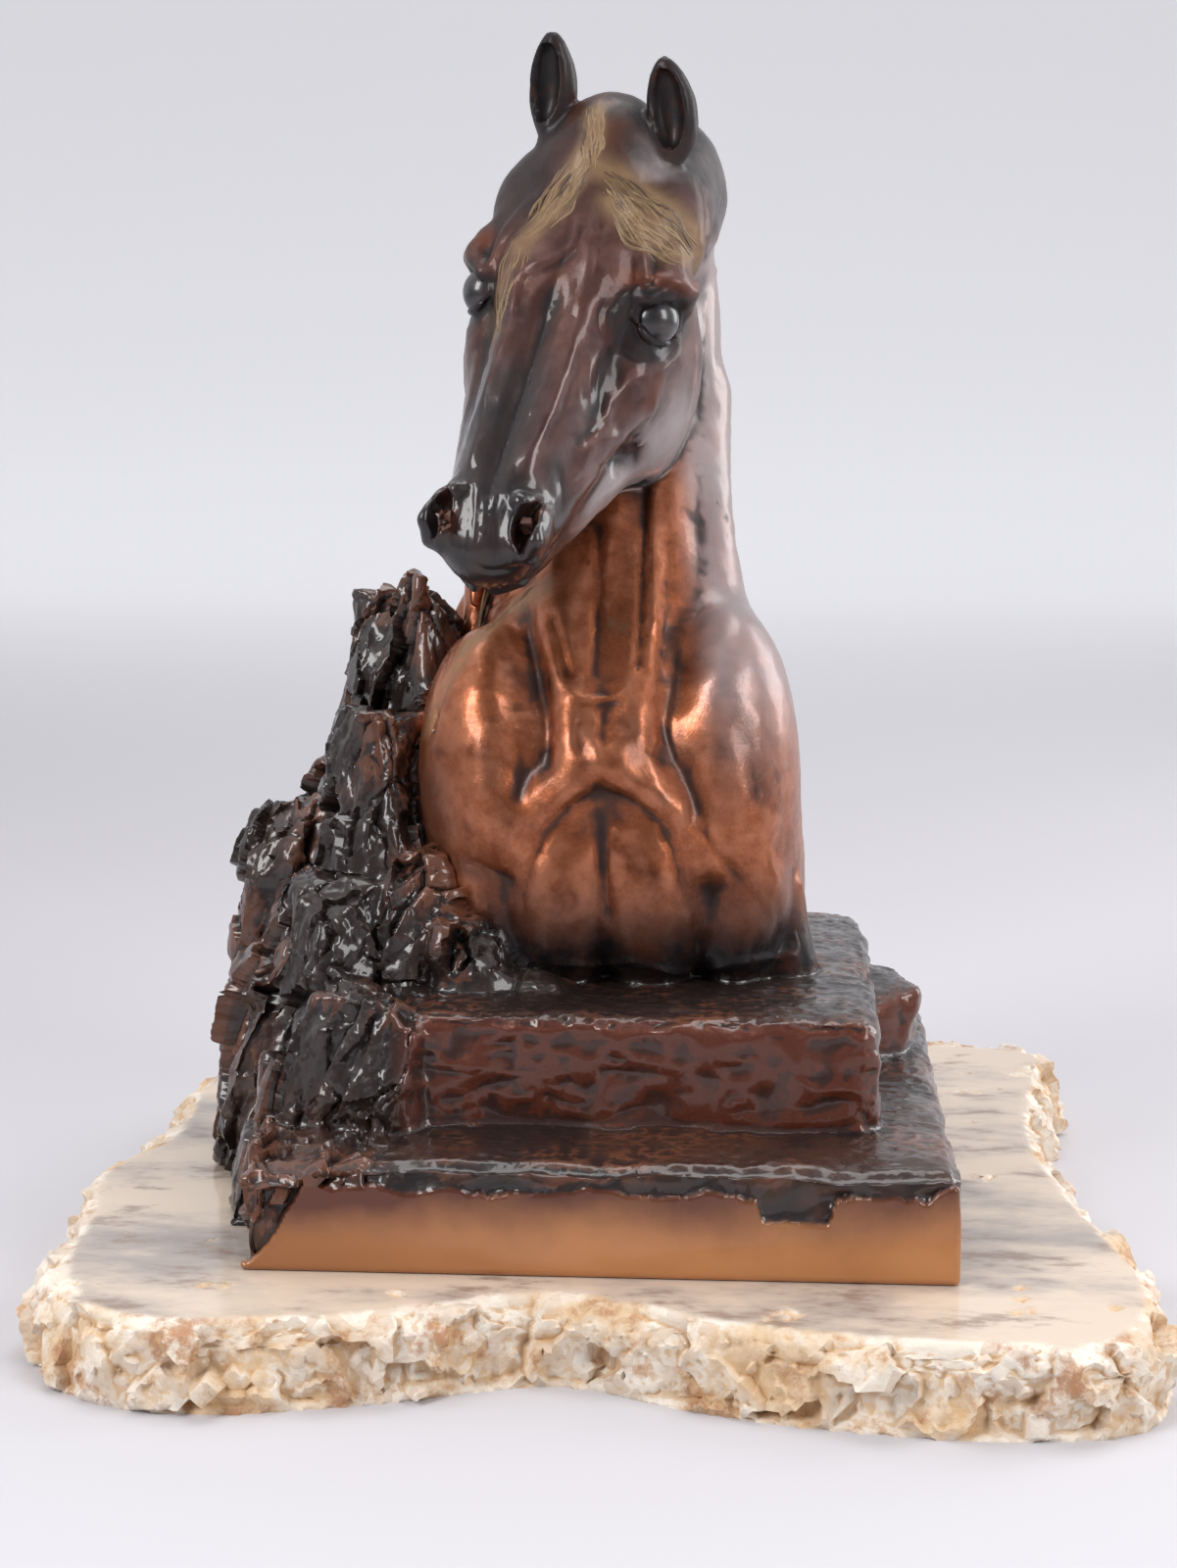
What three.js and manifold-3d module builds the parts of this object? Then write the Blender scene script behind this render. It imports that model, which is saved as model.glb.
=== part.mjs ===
// A cast bronze of an Arabian horse, its head, neck and chest rising from stepped ledges of craggy rock,
// on a slab of stone with a polished top and broken edges.
// Millimetres. +Z is up, the horse faces -Y, and the origin is the centre of the slab's underside.

import * as THREE from "three";
import { ConvexGeometry } from "three/addons/geometries/ConvexGeometry.js";
import { edgeTable, triTable } from "three/addons/objects/MarchingCubes.js";
import { mergeVertices } from "three/addons/utils/BufferGeometryUtils.js";
import Module from "manifold-3d";

// The stone slab.
const SLAB_WIDTH = 406;
const SLAB_DEPTH = 390;
const SLAB_THICKNESS = 30;
const BREAK_SLOPE = 13;
const BREAK_ROUGHNESS = 4;

// The lower ledge, and where its middle stands from the slab's.
const LOWER_LEDGE_WIDTH = 249;
const LOWER_LEDGE_DEPTH = 234;
const LOWER_LEDGE_HEIGHT = 40;
const CASTING_OFFSET_X = 6;
const CASTING_OFFSET_Y = -18;

// The upper ledge, which stands on the lower one and reaches down into it.
const UPPER_LEDGE_WIDTH = 196;
const UPPER_LEDGE_DEPTH = 186;
const UPPER_LEDGE_HEIGHT = 41;
const UPPER_LEDGE_SETBACK = 46;
const LEDGE_OVERLAP = 8;
const LEDGE_ROUGHNESS = 2.4;
const LEDGE_CORNER_CHIP = 9;

// The horse, from the upper ledge to the tips of its ears, and how its head is held, in degrees.
const HORSE_HEIGHT = 350;
const HEAD_PITCH = 28;
const HEAD_ROLL = 9;
const HEAD_YAW = 14;

// How finely the horse is worked, and how much more its face counts than the rest.
const FIELD_STEP = 2.7;
const HORSE_TRIANGLES = 7000;
const FACE_CARE = 7;

// The horse and the rocks are drawn for a horse of this height. Their own sizes below are in that drawing.
const DRAWN_HEIGHT = 350;
const scale = HORSE_HEIGHT / DRAWN_HEIGHT;
const ledgeTop = SLAB_THICKNESS + LOWER_LEDGE_HEIGHT + UPPER_LEDGE_HEIGHT;

const wasm = await Module();
wasm.setup();

// Distances and blends

const clamp = THREE.MathUtils.clamp;
const lerp = THREE.MathUtils.lerp;
const smoothstep = THREE.MathUtils.smoothstep;

function lengthOf(x, y, z) {
  return Math.sqrt(x * x + y * y + z * z);
}

function smoothMin(a, b, blend) {
  const near = Math.max(blend - Math.abs(a - b), 0) / blend;
  return Math.min(a, b) - near * near * blend * 0.25;
}

function smoothMax(a, b, blend) {
  return -smoothMin(-a, -b, blend);
}

// A lump: an ellipsoid with its middle and its three radii.
function lump([cx, cy, cz], [rx, ry, rz]) {
  return (x, y, z) => {
    const [u, v, w] = [x - cx, y - cy, z - cz];
    const near = lengthOf(u / rx, v / ry, w / rz);
    const steep = lengthOf(u / (rx * rx), v / (ry * ry), w / (rz * rz));
    return steep < 1e-9 ? -Math.min(rx, ry, rz) : (near * (near - 1)) / steep;
  };
}

// A limb: a rod from one point to another whose radius changes evenly.
function limb(from, to, startRadius, endRadius) {
  const [ax, ay, az] = from;
  const [bx, by, bz] = [to[0] - ax, to[1] - ay, to[2] - az];
  const span = bx * bx + by * by + bz * bz;
  return (x, y, z) => {
    const [px, py, pz] = [x - ax, y - ay, z - az];
    const t = clamp((px * bx + py * by + pz * bz) / span, 0, 1);
    return lengthOf(px - bx * t, py - by * t, pz - bz * t) - lerp(startRadius, endRadius, t);
  };
}

// A strand: limbs end to end through several points, each with its radius as a fourth number.
function strand(points) {
  const pieces = points.slice(1).map((end, i) => limb(points[i], end, points[i][3], end[3]));
  return (x, y, z) => Math.min(...pieces.map((piece) => piece(x, y, z)));
}

// Joins raised forms, then cuts the hollow ones, each with its own blend.
function carve(forms) {
  return (x, y, z) => {
    let d = 1e3;
    for (const { form, blend, hollow } of forms) {
      const here = form(x, y, z);
      if (hollow) d = smoothMax(d, -here, blend);
      else if (here < d + blend) d = smoothMin(d, here, blend);
    }
    return d;
  };
}

const raised = (blend, form) => ({ form, blend, hollow: false });
const hollow = (blend, form) => ({ form, blend, hollow: true });

// The neck and chest, with the middle of the ledge's top below them as zero

// How far the horse reaches into the ledge.
const ROOT_DEPTH = 8;

const body = carve([
  // Barrel, chest and shoulders.
  raised(24, lump([0, 40, 36], [67, 60, 84])),
  raised(24, lump([-1, 62, 108], [46, 44, 72])),
  raised(22, lump([-2, 8, 62], [60, 48, 58])),
  raised(20, lump([-3, 44, 112], [53, 54, 60])),
  raised(20, lump([-3, 82, 186], [41, 37, 72])),
  raised(18, lump([2, 84, 248], [34, 34, 58])),
  raised(14, lump([8, 58, 294], [31, 32, 34])),
  raised(14, lump([-2, 48, 252], [24, 30, 38])),
  raised(8, lump([-5, 29, 308], [19, 20, 21])),
  raised(16, lump([-51, 2, 74], [26, 36, 56])),
  raised(16, lump([43, 5, 76], [26, 38, 62])),
  raised(14, lump([-40, 16, 18], [27, 42, 46])),
  raised(14, lump([46, 20, 20], [25, 48, 46])),
  raised(5, limb([64, -2, 30], [66, -6, 2], 7, 11)),
  // Breast muscles either side of their groove, and the folds above them.
  raised(9, lump([-21, -22, 32], [22, 19, 40])),
  raised(9, lump([14, -22, 34], [22, 19, 40])),
  raised(10, limb([-36, -28, 50], [-9, -36, 84], 9, 7)),
  raised(10, limb([34, -26, 50], [3, -36, 84], 9, 7)),
  raised(12, limb([-52, -20, 30], [-36, -24, 92], 10, 8)),
  raised(12, limb([51, -18, 30], [35, -20, 94], 10, 8)),
  // Windpipe, and the long muscles beside it from the jaw to the breastbone.
  raised(6, limb([-5, -14, 96], [-4, 62, 204], 17, 15)),
  raised(7, limb([-14, -30, 92], [-28, 56, 200], 9, 12)),
  raised(7, limb([6, -30, 92], [19, 58, 200], 9, 11)),
  raised(14, limb([36, 6, 108], [30, 78, 216], 12, 8)),
  // Crest of the neck.
  raised(12, strand([
    [0, 92, 40, 12],
    [0, 100, 120, 13],
    [0, 104, 200, 11],
    [2, 96, 250, 10],
    [3, 76, 292, 9],
    [2, 46, 314, 8],
    [-2, 30, 315, 9],
  ])),
  ...maneLocks(),
]);

// The locks of the mane, which leave the crest one below the other and fall down the neck's right side.
function maneLocks() {
  const locks = 8;
  return Array.from({ length: locks }, (_, n) => {
    const down = n / (locks - 1);
    const rise = lerp(306, 128, down);
    const back = 104 - 40 * (1 - down) ** 3;
    const wide = lerp(36, 58, Math.min(down * 1.6, 1)) + (n % 2) * 4;
    const drop = lerp(70, 96, down);
    const forward = lerp(50, 78, down);
    return raised(4, strand([
      [-4, back, rise, 7],
      [-wide * 0.72, back - forward * 0.2, rise - drop * 0.24, 9],
      [-wide, back - forward * 0.5, rise - drop * 0.58, 8.5],
      [-wide - 3, back - forward * 0.8, rise - drop * 0.9, 6],
      [-wide - 8 * down, back - forward, rise - drop * 1.15, 2],
    ]));
  });
}

// The head, in head lengths: along the face from the poll, out from the face, and to the horse's left

const HEAD_LENGTH = 198;
const EAR_LENGTH = 34;
const headTurn = new THREE.Matrix4()
  .makeRotationZ(THREE.MathUtils.degToRad(-HEAD_YAW))
  .multiply(new THREE.Matrix4().makeRotationY(THREE.MathUtils.degToRad(HEAD_ROLL)))
  .multiply(new THREE.Matrix4().makeRotationX(THREE.MathUtils.degToRad(-HEAD_PITCH)));
const alongFace = new THREE.Vector3(0, 0, -1).transformDirection(headTurn);
const outOfFace = new THREE.Vector3(0, -1, 0).transformDirection(headTurn);
const toLeft = new THREE.Vector3(1, 0, 0).transformDirection(headTurn);
const POLL = new THREE.Vector3(-4, 15, 326);

// Forms that come in pairs are given on one side, and read with the distance from the middle of the face.
const skull = carve([
  raised(0.05, lump([0.13, -0.13, 0], [0.15, 0.11, 0.12])),
  raised(0.05, lump([0.17, -0.15, 0.115], [0.13, 0.1, 0.1])),
  raised(0.06, lump([0.28, -0.09, 0], [0.17, 0.085, 0.165])),
  raised(0.05, limb([0.3, -0.09, 0.045], [0.8, -0.06, 0.03], 0.08, 0.052)),
  raised(0.05, limb([0.4, -0.2, 0.13], [0.8, -0.12, 0.05], 0.065, 0.06)),
  raised(0.05, limb([0.42, -0.28, 0.06], [0.84, -0.15, 0.02], 0.1, 0.06)),
  raised(0.05, lump([0.38, -0.29, 0.15], [0.17, 0.19, 0.062])),
  raised(0.03, lump([0.46, -0.36, 0.145], [0.125, 0.13, 0.06])),
  raised(0.04, limb([0.53, -0.37, 0.105], [0.85, -0.2, 0.03], 0.055, 0.045)),
  raised(0.035, lump([0.86, -0.085, 0], [0.1, 0.08, 0.09])),
  raised(0.02, lump([0.86, -0.055, 0.074], [0.07, 0.054, 0.036])),
  raised(0.03, lump([0.905, -0.1, 0], [0.045, 0.07, 0.072])),
  raised(0.025, lump([0.88, -0.19, 0], [0.058, 0.036, 0.052])),
  raised(0.03, lump([0.3, -0.11, 0.18], [0.06, 0.055, 0.04])),
  raised(0.02, strand([
    [0.44, -0.17, 0.17, 0.018],
    [0.5, -0.2, 0.17, 0.02],
    [0.64, -0.16, 0.12, 0.014],
  ])),
  hollow(0.02, lump([0.38, -0.12, 0.22], [0.055, 0.055, 0.045])),
  raised(0.006, lump([0.37, -0.125, 0.158], [0.047, 0.047, 0.047])),
  raised(0.012, strand([
    [0.35, -0.19, 0.19, 0.01],
    [0.315, -0.165, 0.205, 0.018],
    [0.3, -0.12, 0.21, 0.027],
    [0.312, -0.08, 0.196, 0.023],
    [0.36, -0.06, 0.165, 0.014],
  ])),
  hollow(0.012, lump([0.86, -0.035, 0.09], [0.055, 0.034, 0.026])),
  hollow(0.01, limb([0.965, -0.165, 0], [0.81, -0.16, 0.1], 0.007, 0.005)),
]);

// An ear, from its root up: a pointed leaf on a stalk, hollowed from the side that it opens to.
function ear(side) {
  const root = headPoint(0.036 + side * 0.008, -0.06, side * 0.13);
  const up = headDirection(-0.75, 0.62, -0.15 - side * 0.1).normalize();
  const open = headDirection(0.6, 0.75, side * 0.12 - 0.17);
  open.addScaledVector(up, -open.dot(up)).normalize();
  const across = new THREE.Vector3().crossVectors(up, open);
  const length = EAR_LENGTH;
  const stalkRoot = headPoint(0.12, -0.12, side * 0.09);
  const stalkTop = root.clone().addScaledVector(up, length * 0.22);
  const stalk = limb(stalkRoot.toArray(), stalkTop.toArray(), 9, 4.5);
  const leaf = (t) => Math.sqrt(Math.max(t + 0.15, 0)) * Math.max(1 - t, 0) ** 0.62 * length * 0.52;
  const mouth = (t) => Math.sqrt(Math.max(t - 0.02, 0) * Math.max(0.88 - t, 0)) * length * 0.46;
  return (x, y, z) => {
    const [px, py, pz] = [x - root.x, y - root.y, z - root.z];
    const u = (px * up.x + py * up.y + pz * up.z) / length;
    const v = px * open.x + py * open.y + pz * open.z;
    const w = px * across.x + py * across.y + pz * across.z;
    const t = clamp(u, -0.15, 1);
    const past = Math.abs(u - t) * length;
    const wide = leaf(t);
    const outside = lengthOf(w, v * 1.2 + wide * 0.25, past) - wide;
    const cup = lengthOf(w, (v - wide * 0.6) * 0.8, 0) - mouth(t);
    const whole = smoothMin(outside, stalk(x, y, z), 4);
    return smoothMax(whole, -cup, 1.2);
  };
}

function headDirection(along, out, left) {
  return new THREE.Vector3()
    .addScaledVector(alongFace, along)
    .addScaledVector(outOfFace, out)
    .addScaledVector(toLeft, left);
}

function headPoint(along, out, left) {
  return headDirection(along, out, left).multiplyScalar(HEAD_LENGTH).add(POLL);
}

const ears = [-1, 1].map(ear);

function headShare(x, y, z) {
  const [px, py, pz] = [x - POLL.x, y - POLL.y, z - POLL.z];
  return [alongFace, outOfFace, toLeft].map((d) => (px * d.x + py * d.y + pz * d.z) / HEAD_LENGTH);
}

// The whole horse: a soft passage at the poll, and a crease where the jaw meets the neck.
function horseField(x, y, z) {
  const [along, out, left] = headShare(x, y, z);
  const head = skull(along, out, Math.abs(left)) * HEAD_LENGTH;
  const blend = lerp(20, 3, smoothstep(along - out * 0.4, 0.12, 0.3));
  let whole = smoothMin(head, body(x, y, z), blend);
  for (const one of ears) whole = smoothMin(whole, one(x, y, z), 3);
  return Math.max(whole, -z - ROOT_DEPTH);
}

// From a field to a mesh

const CORNERS = [[0, 0, 0], [1, 0, 0], [1, 1, 0], [0, 1, 0], [0, 0, 1], [1, 0, 1], [1, 1, 1], [0, 1, 1]];
const EDGES = [[0, 1], [1, 2], [3, 2], [0, 3], [4, 5], [5, 6], [7, 6], [4, 7], [0, 4], [1, 5], [2, 6], [3, 7]];
const BLOCK = 4;

// Marching cubes on a grid of blocks, of which only those that the surface passes are sampled closely.
function polygonise(field, low, high, step) {
  const counts = [0, 1, 2].map((k) => Math.ceil((high[k] - low[k]) / step / BLOCK) * BLOCK + 1);
  const [nx, ny, nz] = counts;
  const values = new Float64Array(nx * ny * nz).fill(NaN);
  const offsets = CORNERS.map(([x, y, z]) => x + nx * (y + ny * z));
  const positions = [];
  const triangles = [];
  const points = new Map();
  const sample = (i, j, k) => {
    const at = i + nx * (j + ny * k);
    if (Number.isNaN(values[at])) values[at] = field(low[0] + i * step, low[1] + j * step, low[2] + k * step);
    return values[at];
  };
  const pointOn = (i, j, k, edge) => {
    const [from, to] = EDGES[edge];
    const axis = [0, 1, 2].find((n) => CORNERS[from][n] !== CORNERS[to][n]);
    const at = i + nx * (j + ny * k);
    const key = (at + offsets[from]) * 3 + axis;
    if (!points.has(key)) {
      const [a, b] = [values[at + offsets[from]], values[at + offsets[to]]];
      const t = clamp(a / (a - b), 0.06, 0.94);
      points.set(key, positions.length / 3);
      [i, j, k].forEach((cell, n) => {
        positions.push(low[n] + (cell + CORNERS[from][n] + (n === axis ? t : 0)) * step);
      });
    }
    return points.get(key);
  };
  const march = (i, j, k) => {
    const at = i + nx * (j + ny * k);
    let code = 0;
    for (let n = 0; n < 8; n++) if (values[at + offsets[n]] < 0) code |= 1 << n;
    if (!edgeTable[code]) return;
    for (let n = code * 16; triTable[n] !== -1; n += 3)
      triangles.push([0, 2, 1].map((m) => pointOn(i, j, k, triTable[n + m])));
  };
  const each = (i0, j0, k0, count, visit) => {
    for (let k = k0; k < k0 + count; k++)
      for (let j = j0; j < j0 + count; j++)
        for (let i = i0; i < i0 + count; i++) visit(i, j, k);
  };
  const reach = step * BLOCK * 1.3;
  const half = BLOCK / 2;
  for (let k = 0; k < nz - 1; k += BLOCK)
    for (let j = 0; j < ny - 1; j += BLOCK)
      for (let i = 0; i < nx - 1; i += BLOCK) {
        if (Math.abs(sample(i + half, j + half, k + half)) > reach) continue;
        each(i, j, k, BLOCK + 1, sample);
        each(i, j, k, BLOCK, march);
      }
  return { positions, triangles };
}

const LONG_EDGE_COST = 1e-5;

// Thins a closed mesh to a number of triangles, edge by edge, where that changes its shape least.
// careOf gives how much more a change at a point counts than elsewhere.
function thin({ positions, triangles }, wanted, careOf) {
  const faces = triangles.map((t) => [...t]);
  const alive = faces.map(() => true);
  const around = Array.from({ length: positions.length / 3 }, () => new Set());
  faces.forEach((f, n) => f.forEach((v) => around[v].add(n)));
  const place = (v) => [positions[v * 3], positions[v * 3 + 1], positions[v * 3 + 2]];
  const planeOf = (p, q, r) => {
    const [ux, uy, uz] = [q[0] - p[0], q[1] - p[1], q[2] - p[2]];
    const [vx, vy, vz] = [r[0] - p[0], r[1] - p[1], r[2] - p[2]];
    const n = [uy * vz - uz * vy, uz * vx - ux * vz, ux * vy - uy * vx];
    const size = lengthOf(...n) || 1e-12;
    return { normal: n.map((c) => c / size), area: size / 2 };
  };
  const quadrics = Array.from(around, () => new Float64Array(10));
  const addPlane = (q, [a, b, c], d, w) => {
    [a * a, a * b, a * c, a * d, b * b, b * c, b * d, c * c, c * d, d * d].forEach((v, n) => {
      q[n] += v * w;
    });
  };
  for (const f of faces) {
    const [p, q, r] = f.map(place);
    const { normal, area } = planeOf(p, q, r);
    const d = -(normal[0] * p[0] + normal[1] * p[1] + normal[2] * p[2]);
    const weight = area * careOf(p);
    for (const v of f) addPlane(quadrics[v], normal, d, weight);
  }
  const errorAt = (q, x, y, z) =>
    q[0] * x * x + 2 * q[1] * x * y + 2 * q[2] * x * z + 2 * q[3] * x + q[4] * y * y +
    2 * q[5] * y * z + 2 * q[6] * y + q[7] * z * z + 2 * q[8] * z + q[9];
  const bestOf = (u, v) => {
    const q = new Float64Array(10);
    for (let n = 0; n < 10; n++) q[n] = quadrics[u][n] + quadrics[v][n];
    const [a, b] = [place(u), place(v)];
    let best = null;
    const length = lengthOf(a[0] - b[0], a[1] - b[1], a[2] - b[2]);
    for (const t of [0.5, 0, 1]) {
      const p = [lerp(a[0], b[0], t), lerp(a[1], b[1], t), lerp(a[2], b[2], t)];
      const cost = errorAt(q, p[0], p[1], p[2]) + length ** 4 * LONG_EDGE_COST;
      if (!best || cost < best.cost) best = { p, cost, q };
    }
    return best;
  };
  const heap = [];
  const stamp = new Uint32Array(around.length);
  const push = (item) => {
    let n = heap.push(item) - 1;
    while (n > 0) {
      const up = (n - 1) >> 1;
      if (heap[up].cost <= heap[n].cost) break;
      [heap[up], heap[n]] = [heap[n], heap[up]];
      n = up;
    }
  };
  const pop = () => {
    const top = heap[0];
    const last = heap.pop();
    if (heap.length) {
      heap[0] = last;
      for (let n = 0; ; ) {
        let least = n;
        for (const child of [2 * n + 1, 2 * n + 2])
          if (child < heap.length && heap[child].cost < heap[least].cost) least = child;
        if (least === n) break;
        [heap[least], heap[n]] = [heap[n], heap[least]];
        n = least;
      }
    }
    return top;
  };
  const offer = (u, v) => {
    const best = bestOf(u, v);
    push({ u, v, su: stamp[u], sv: stamp[v], ...best });
  };
  const neighbours = (v) => {
    const found = new Set();
    for (const n of around[v]) for (const w of faces[n]) if (w !== v) found.add(w);
    return found;
  };
  const turnsOver = (v, other, p) => {
    for (const n of around[v]) {
      if (faces[n].includes(other)) continue;
      const before = faces[n].map(place);
      const after = faces[n].map((w, m) => (w === v ? p : before[m]));
      const [old, now] = [planeOf(...before), planeOf(...after)];
      const same = old.normal.reduce((sum, c, m) => sum + c * now.normal[m], 0);
      if (same < 0.35 || now.area < 1e-3) return true;
    }
    return false;
  };
  for (const f of faces) {
    f.forEach((u, n) => {
      const v = f[(n + 1) % 3];
      if (u < v) offer(u, v);
    });
  }
  let count = faces.length;
  while (count > wanted && heap.length) {
    const { u, v, su, sv, p, q } = pop();
    if (su !== stamp[u] || sv !== stamp[v]) continue;
    const nearU = neighbours(u);
    const shared = [...neighbours(v)].filter((w) => nearU.has(w));
    if (shared.length !== 2 || turnsOver(u, v, p) || turnsOver(v, u, p)) continue;
    for (const n of [...around[v]]) {
      if (faces[n].includes(u)) {
        faces[n].forEach((w) => around[w].delete(n));
        alive[n] = false;
        count--;
      } else {
        faces[n][faces[n].indexOf(v)] = u;
        around[u].add(n);
      }
    }
    around[v].clear();
    p.forEach((c, n) => {
      positions[u * 3 + n] = c;
    });
    quadrics[u] = q;
    stamp[v]++;
    stamp[u]++;
    for (const w of neighbours(u)) offer(Math.min(u, w), Math.max(u, w));
  }
  return { positions, triangles: faces.filter((_, n) => alive[n]) };
}

// Keeps the mesh's largest closed skin, and so fills what the forms close off inside it.
function outerSkin({ positions, triangles }) {
  const parent = Int32Array.from({ length: positions.length / 3 }, (_, n) => n);
  const rootOf = (v) => {
    while (parent[v] !== v) v = parent[v] = parent[parent[v]];
    return v;
  };
  for (const [a, b, c] of triangles) {
    parent[rootOf(b)] = rootOf(a);
    parent[rootOf(c)] = rootOf(a);
  }
  const skins = new Map();
  for (const triangle of triangles) {
    const root = rootOf(triangle[0]);
    if (!skins.has(root)) skins.set(root, []);
    skins.get(root).push(triangle);
  }
  const largest = [...skins.values()].reduce((a, b) => (b.length > a.length ? b : a));
  return { positions, triangles: largest };
}

// Solids

function solidFrom(positions, triangles) {
  const mesh = new wasm.Mesh({
    numProp: 3,
    vertProperties: Float32Array.from(positions),
    triVerts: Uint32Array.from(triangles.flat()),
  });
  return new wasm.Manifold(mesh);
}

function solidOf(geometry) {
  const bare = geometry.clone();
  for (const name of ["normal", "uv"]) bare.deleteAttribute(name);
  const merged = mergeVertices(bare, 1e-3);
  const corners = merged.index.array;
  const triangles = [];
  for (let n = 0; n < corners.length; n += 3) {
    const [a, b, c] = corners.slice(n, n + 3);
    if (a !== b && b !== c && c !== a) triangles.push([a, b, c]);
  }
  return solidFrom(merged.attributes.position.array, triangles);
}

// The same solid without what its parts close off between them.
function filled(solid) {
  const { vertProperties, triVerts } = solid.getMesh();
  const triangles = Array.from({ length: triVerts.length / 3 }, (_, n) => [...triVerts.slice(n * 3, n * 3 + 3)]);
  const skin = outerSkin({ positions: vertProperties, triangles });
  return solidFrom(skin.positions, skin.triangles);
}

function geometryOf(solid) {
  const mesh = solid.getMesh();
  const geometry = new THREE.BufferGeometry();
  geometry.setAttribute("position", new THREE.BufferAttribute(mesh.vertProperties, 3));
  geometry.setIndex(new THREE.BufferAttribute(mesh.triVerts, 1));
  geometry.computeVertexNormals();
  return geometry;
}

// Unevenness from -1 to 1 that changes smoothly from place to place
function hash(i, j, k) {
  const s = Math.sin(i * 127.1 + j * 311.7 + k * 74.7) * 43758.5453;
  return (s - Math.floor(s)) * 2 - 1;
}

function uneven(x, y, z) {
  const [i, j, k] = [Math.floor(x), Math.floor(y), Math.floor(z)];
  const [u, v, w] = [x - i, y - j, z - k].map((t) => t * t * (3 - 2 * t));
  const row = (b, c) => lerp(hash(i, j + b, k + c), hash(i + 1, j + b, k + c), u);
  return lerp(lerp(row(0, 0), row(1, 0), v), lerp(row(0, 1), row(1, 1), v), w);
}

function moveVertices(geometry, place) {
  const at = geometry.attributes.position;
  for (let n = 0; n < at.count; n++) at.setXYZ(n, ...place(at.getX(n), at.getY(n), at.getZ(n)));
  return geometry;
}

// A ledge: a block with a flat underside, and uneven sides and top, with its front edge at front. Its own
// front is flat or uneven, and the top sinks by chip towards the front left corner.
const LEDGE_CELL = 20;

function ledge(width, depth, height, front, floor, flatFront, chip) {
  const cells = [width, depth, height].map((size) => Math.max(2, Math.round(size / LEDGE_CELL)));
  const block = new THREE.BoxGeometry(width, depth, height, ...cells);
  block.translate(0, front + depth / 2, floor + height / 2);
  const reach = 0.1;
  return moveVertices(block, (x, y, z) => {
    const onTop = z > floor + height - reach;
    const raisedUp = z > floor + reach;
    const onSide = Math.abs(x) > width / 2 - reach;
    const onBack = y > front + depth - reach;
    const onFront = y < front + reach;
    const bump = Math.abs(uneven(x / 17, y / 17, z / 15)) * LEDGE_ROUGHNESS;
    const cornerward = smoothstep(-x, width * 0.3, width * 0.5) * smoothstep(-y, -front - 40, -front);
    let [px, py, pz] = [x, y, z];
    if (onSide && raisedUp) px -= Math.sign(x) * bump;
    if (onBack && raisedUp) py -= bump;
    if (onFront && raisedUp && !flatFront) py += bump;
    if (onTop) pz -= bump * (onSide || onBack || onFront ? 1.6 : 0.6) + chip * cornerward;
    return [px, py, pz];
  });
}

// A crag: the hull of uneven rings of points that taper and lean towards an uneven top, at drawn size.
function crag([x, y], [rx, ry], floor, top, taper, lean, seed) {
  const rings = [0, 0.4, 0.78, 1];
  const unevenness = [0, 0.07, 0.08, 0.13];
  const points = [];
  rings.forEach((up, ring) => {
    const sides = ring === 0 ? 5 : 6;
    for (let n = 0; n < sides; n++) {
      const angle = ((n + 0.42 * hash(seed, n, ring)) / sides) * 2 * Math.PI;
      const out = (1 - taper * up ** 1.5) * (0.95 + 0.17 * hash(seed + 5, n, ring));
      const rise = unevenness[ring] * hash(seed + 9, n, ring) - (ring === 3 ? 0.08 : 0);
      points.push(new THREE.Vector3(
        x + Math.cos(angle) * rx * out + lean[0] * up,
        y + Math.sin(angle) * ry * out + lean[1] * up,
        floor + Math.min(up + rise, 1) * (top - floor),
      ).multiplyScalar(scale));
    }
  });
  return new ConvexGeometry(points);
}

const ledgeLeft = -LOWER_LEDGE_WIDTH / 2;
const lowerFront = -LOWER_LEDGE_DEPTH / 2;
const upperFront = lowerFront + UPPER_LEDGE_SETBACK;

// Each crag, from the lower ledge's front left corner on the slab: its middle, half width and half depth,
// floor, top, taper, lean and its own seed. Those on the ledge start a little below its top.
const onLedge = LOWER_LEDGE_HEIGHT / scale - 10;
const crags = [
  // The wall of rock beside the horse's right shoulder, highest next to its neck.
  crag([-12, 166], [31, 44], 0, 146, 0.36, [8, 4], 1),
  crag([8, 166], [33, 44], 0, 170, 0.45, [14, 4], 2),
  crag([28, 172], [28, 40], 0, 222, 0.45, [5, 2], 3),
  crag([44, 166], [27, 38], 0, 230, 0.45, [7, 3], 4),
  crag([60, 160], [24, 34], onLedge, 204, 0.45, [4, 6], 5),
  crag([16, 206], [38, 26], 0, 166, 0.4, [8, -6], 6),
  crag([64, 200], [34, 26], onLedge, 142, 0.45, [0, -6], 7),
  // The buttress in front of it, which comes down in broad faces to the upper ledge's right end.
  crag([34, 122], [42, 50], 0, 180, 0.5, [4, 22], 8),
  crag([52, 98], [42, 38], 0, 142, 0.5, [0, 22], 9),
  crag([76, 88], [32, 30], onLedge, 114, 0.5, [2, 16], 10),
  crag([103, 80], [20, 16], onLedge, 93, 0.5, [-4, 10], 11),
  // The shelves that step down from it to the left and the front.
  crag([14, 94], [36, 42], 0, 118, 0.45, [10, 20], 12),
  crag([-1, 130], [32, 50], 0, 128, 0.45, [10, 14], 13),
  crag([-12, 124], [22, 46], 0, 90, 0.4, [8, 10], 14),
  crag([6, 76], [24, 42], 0, 72, 0.4, [8, 12], 15),
  crag([28, 66], [28, 26], 0, 90, 0.4, [6, 14], 16),
  crag([35, 53], [36, 25], onLedge, 87, 0.3, [4, 8], 17),
  // The corner behind the upper ledge's right end.
  crag([227, 176], [19, 30], 0, 68, 0.15, [0, 0], 18),
];

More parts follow.
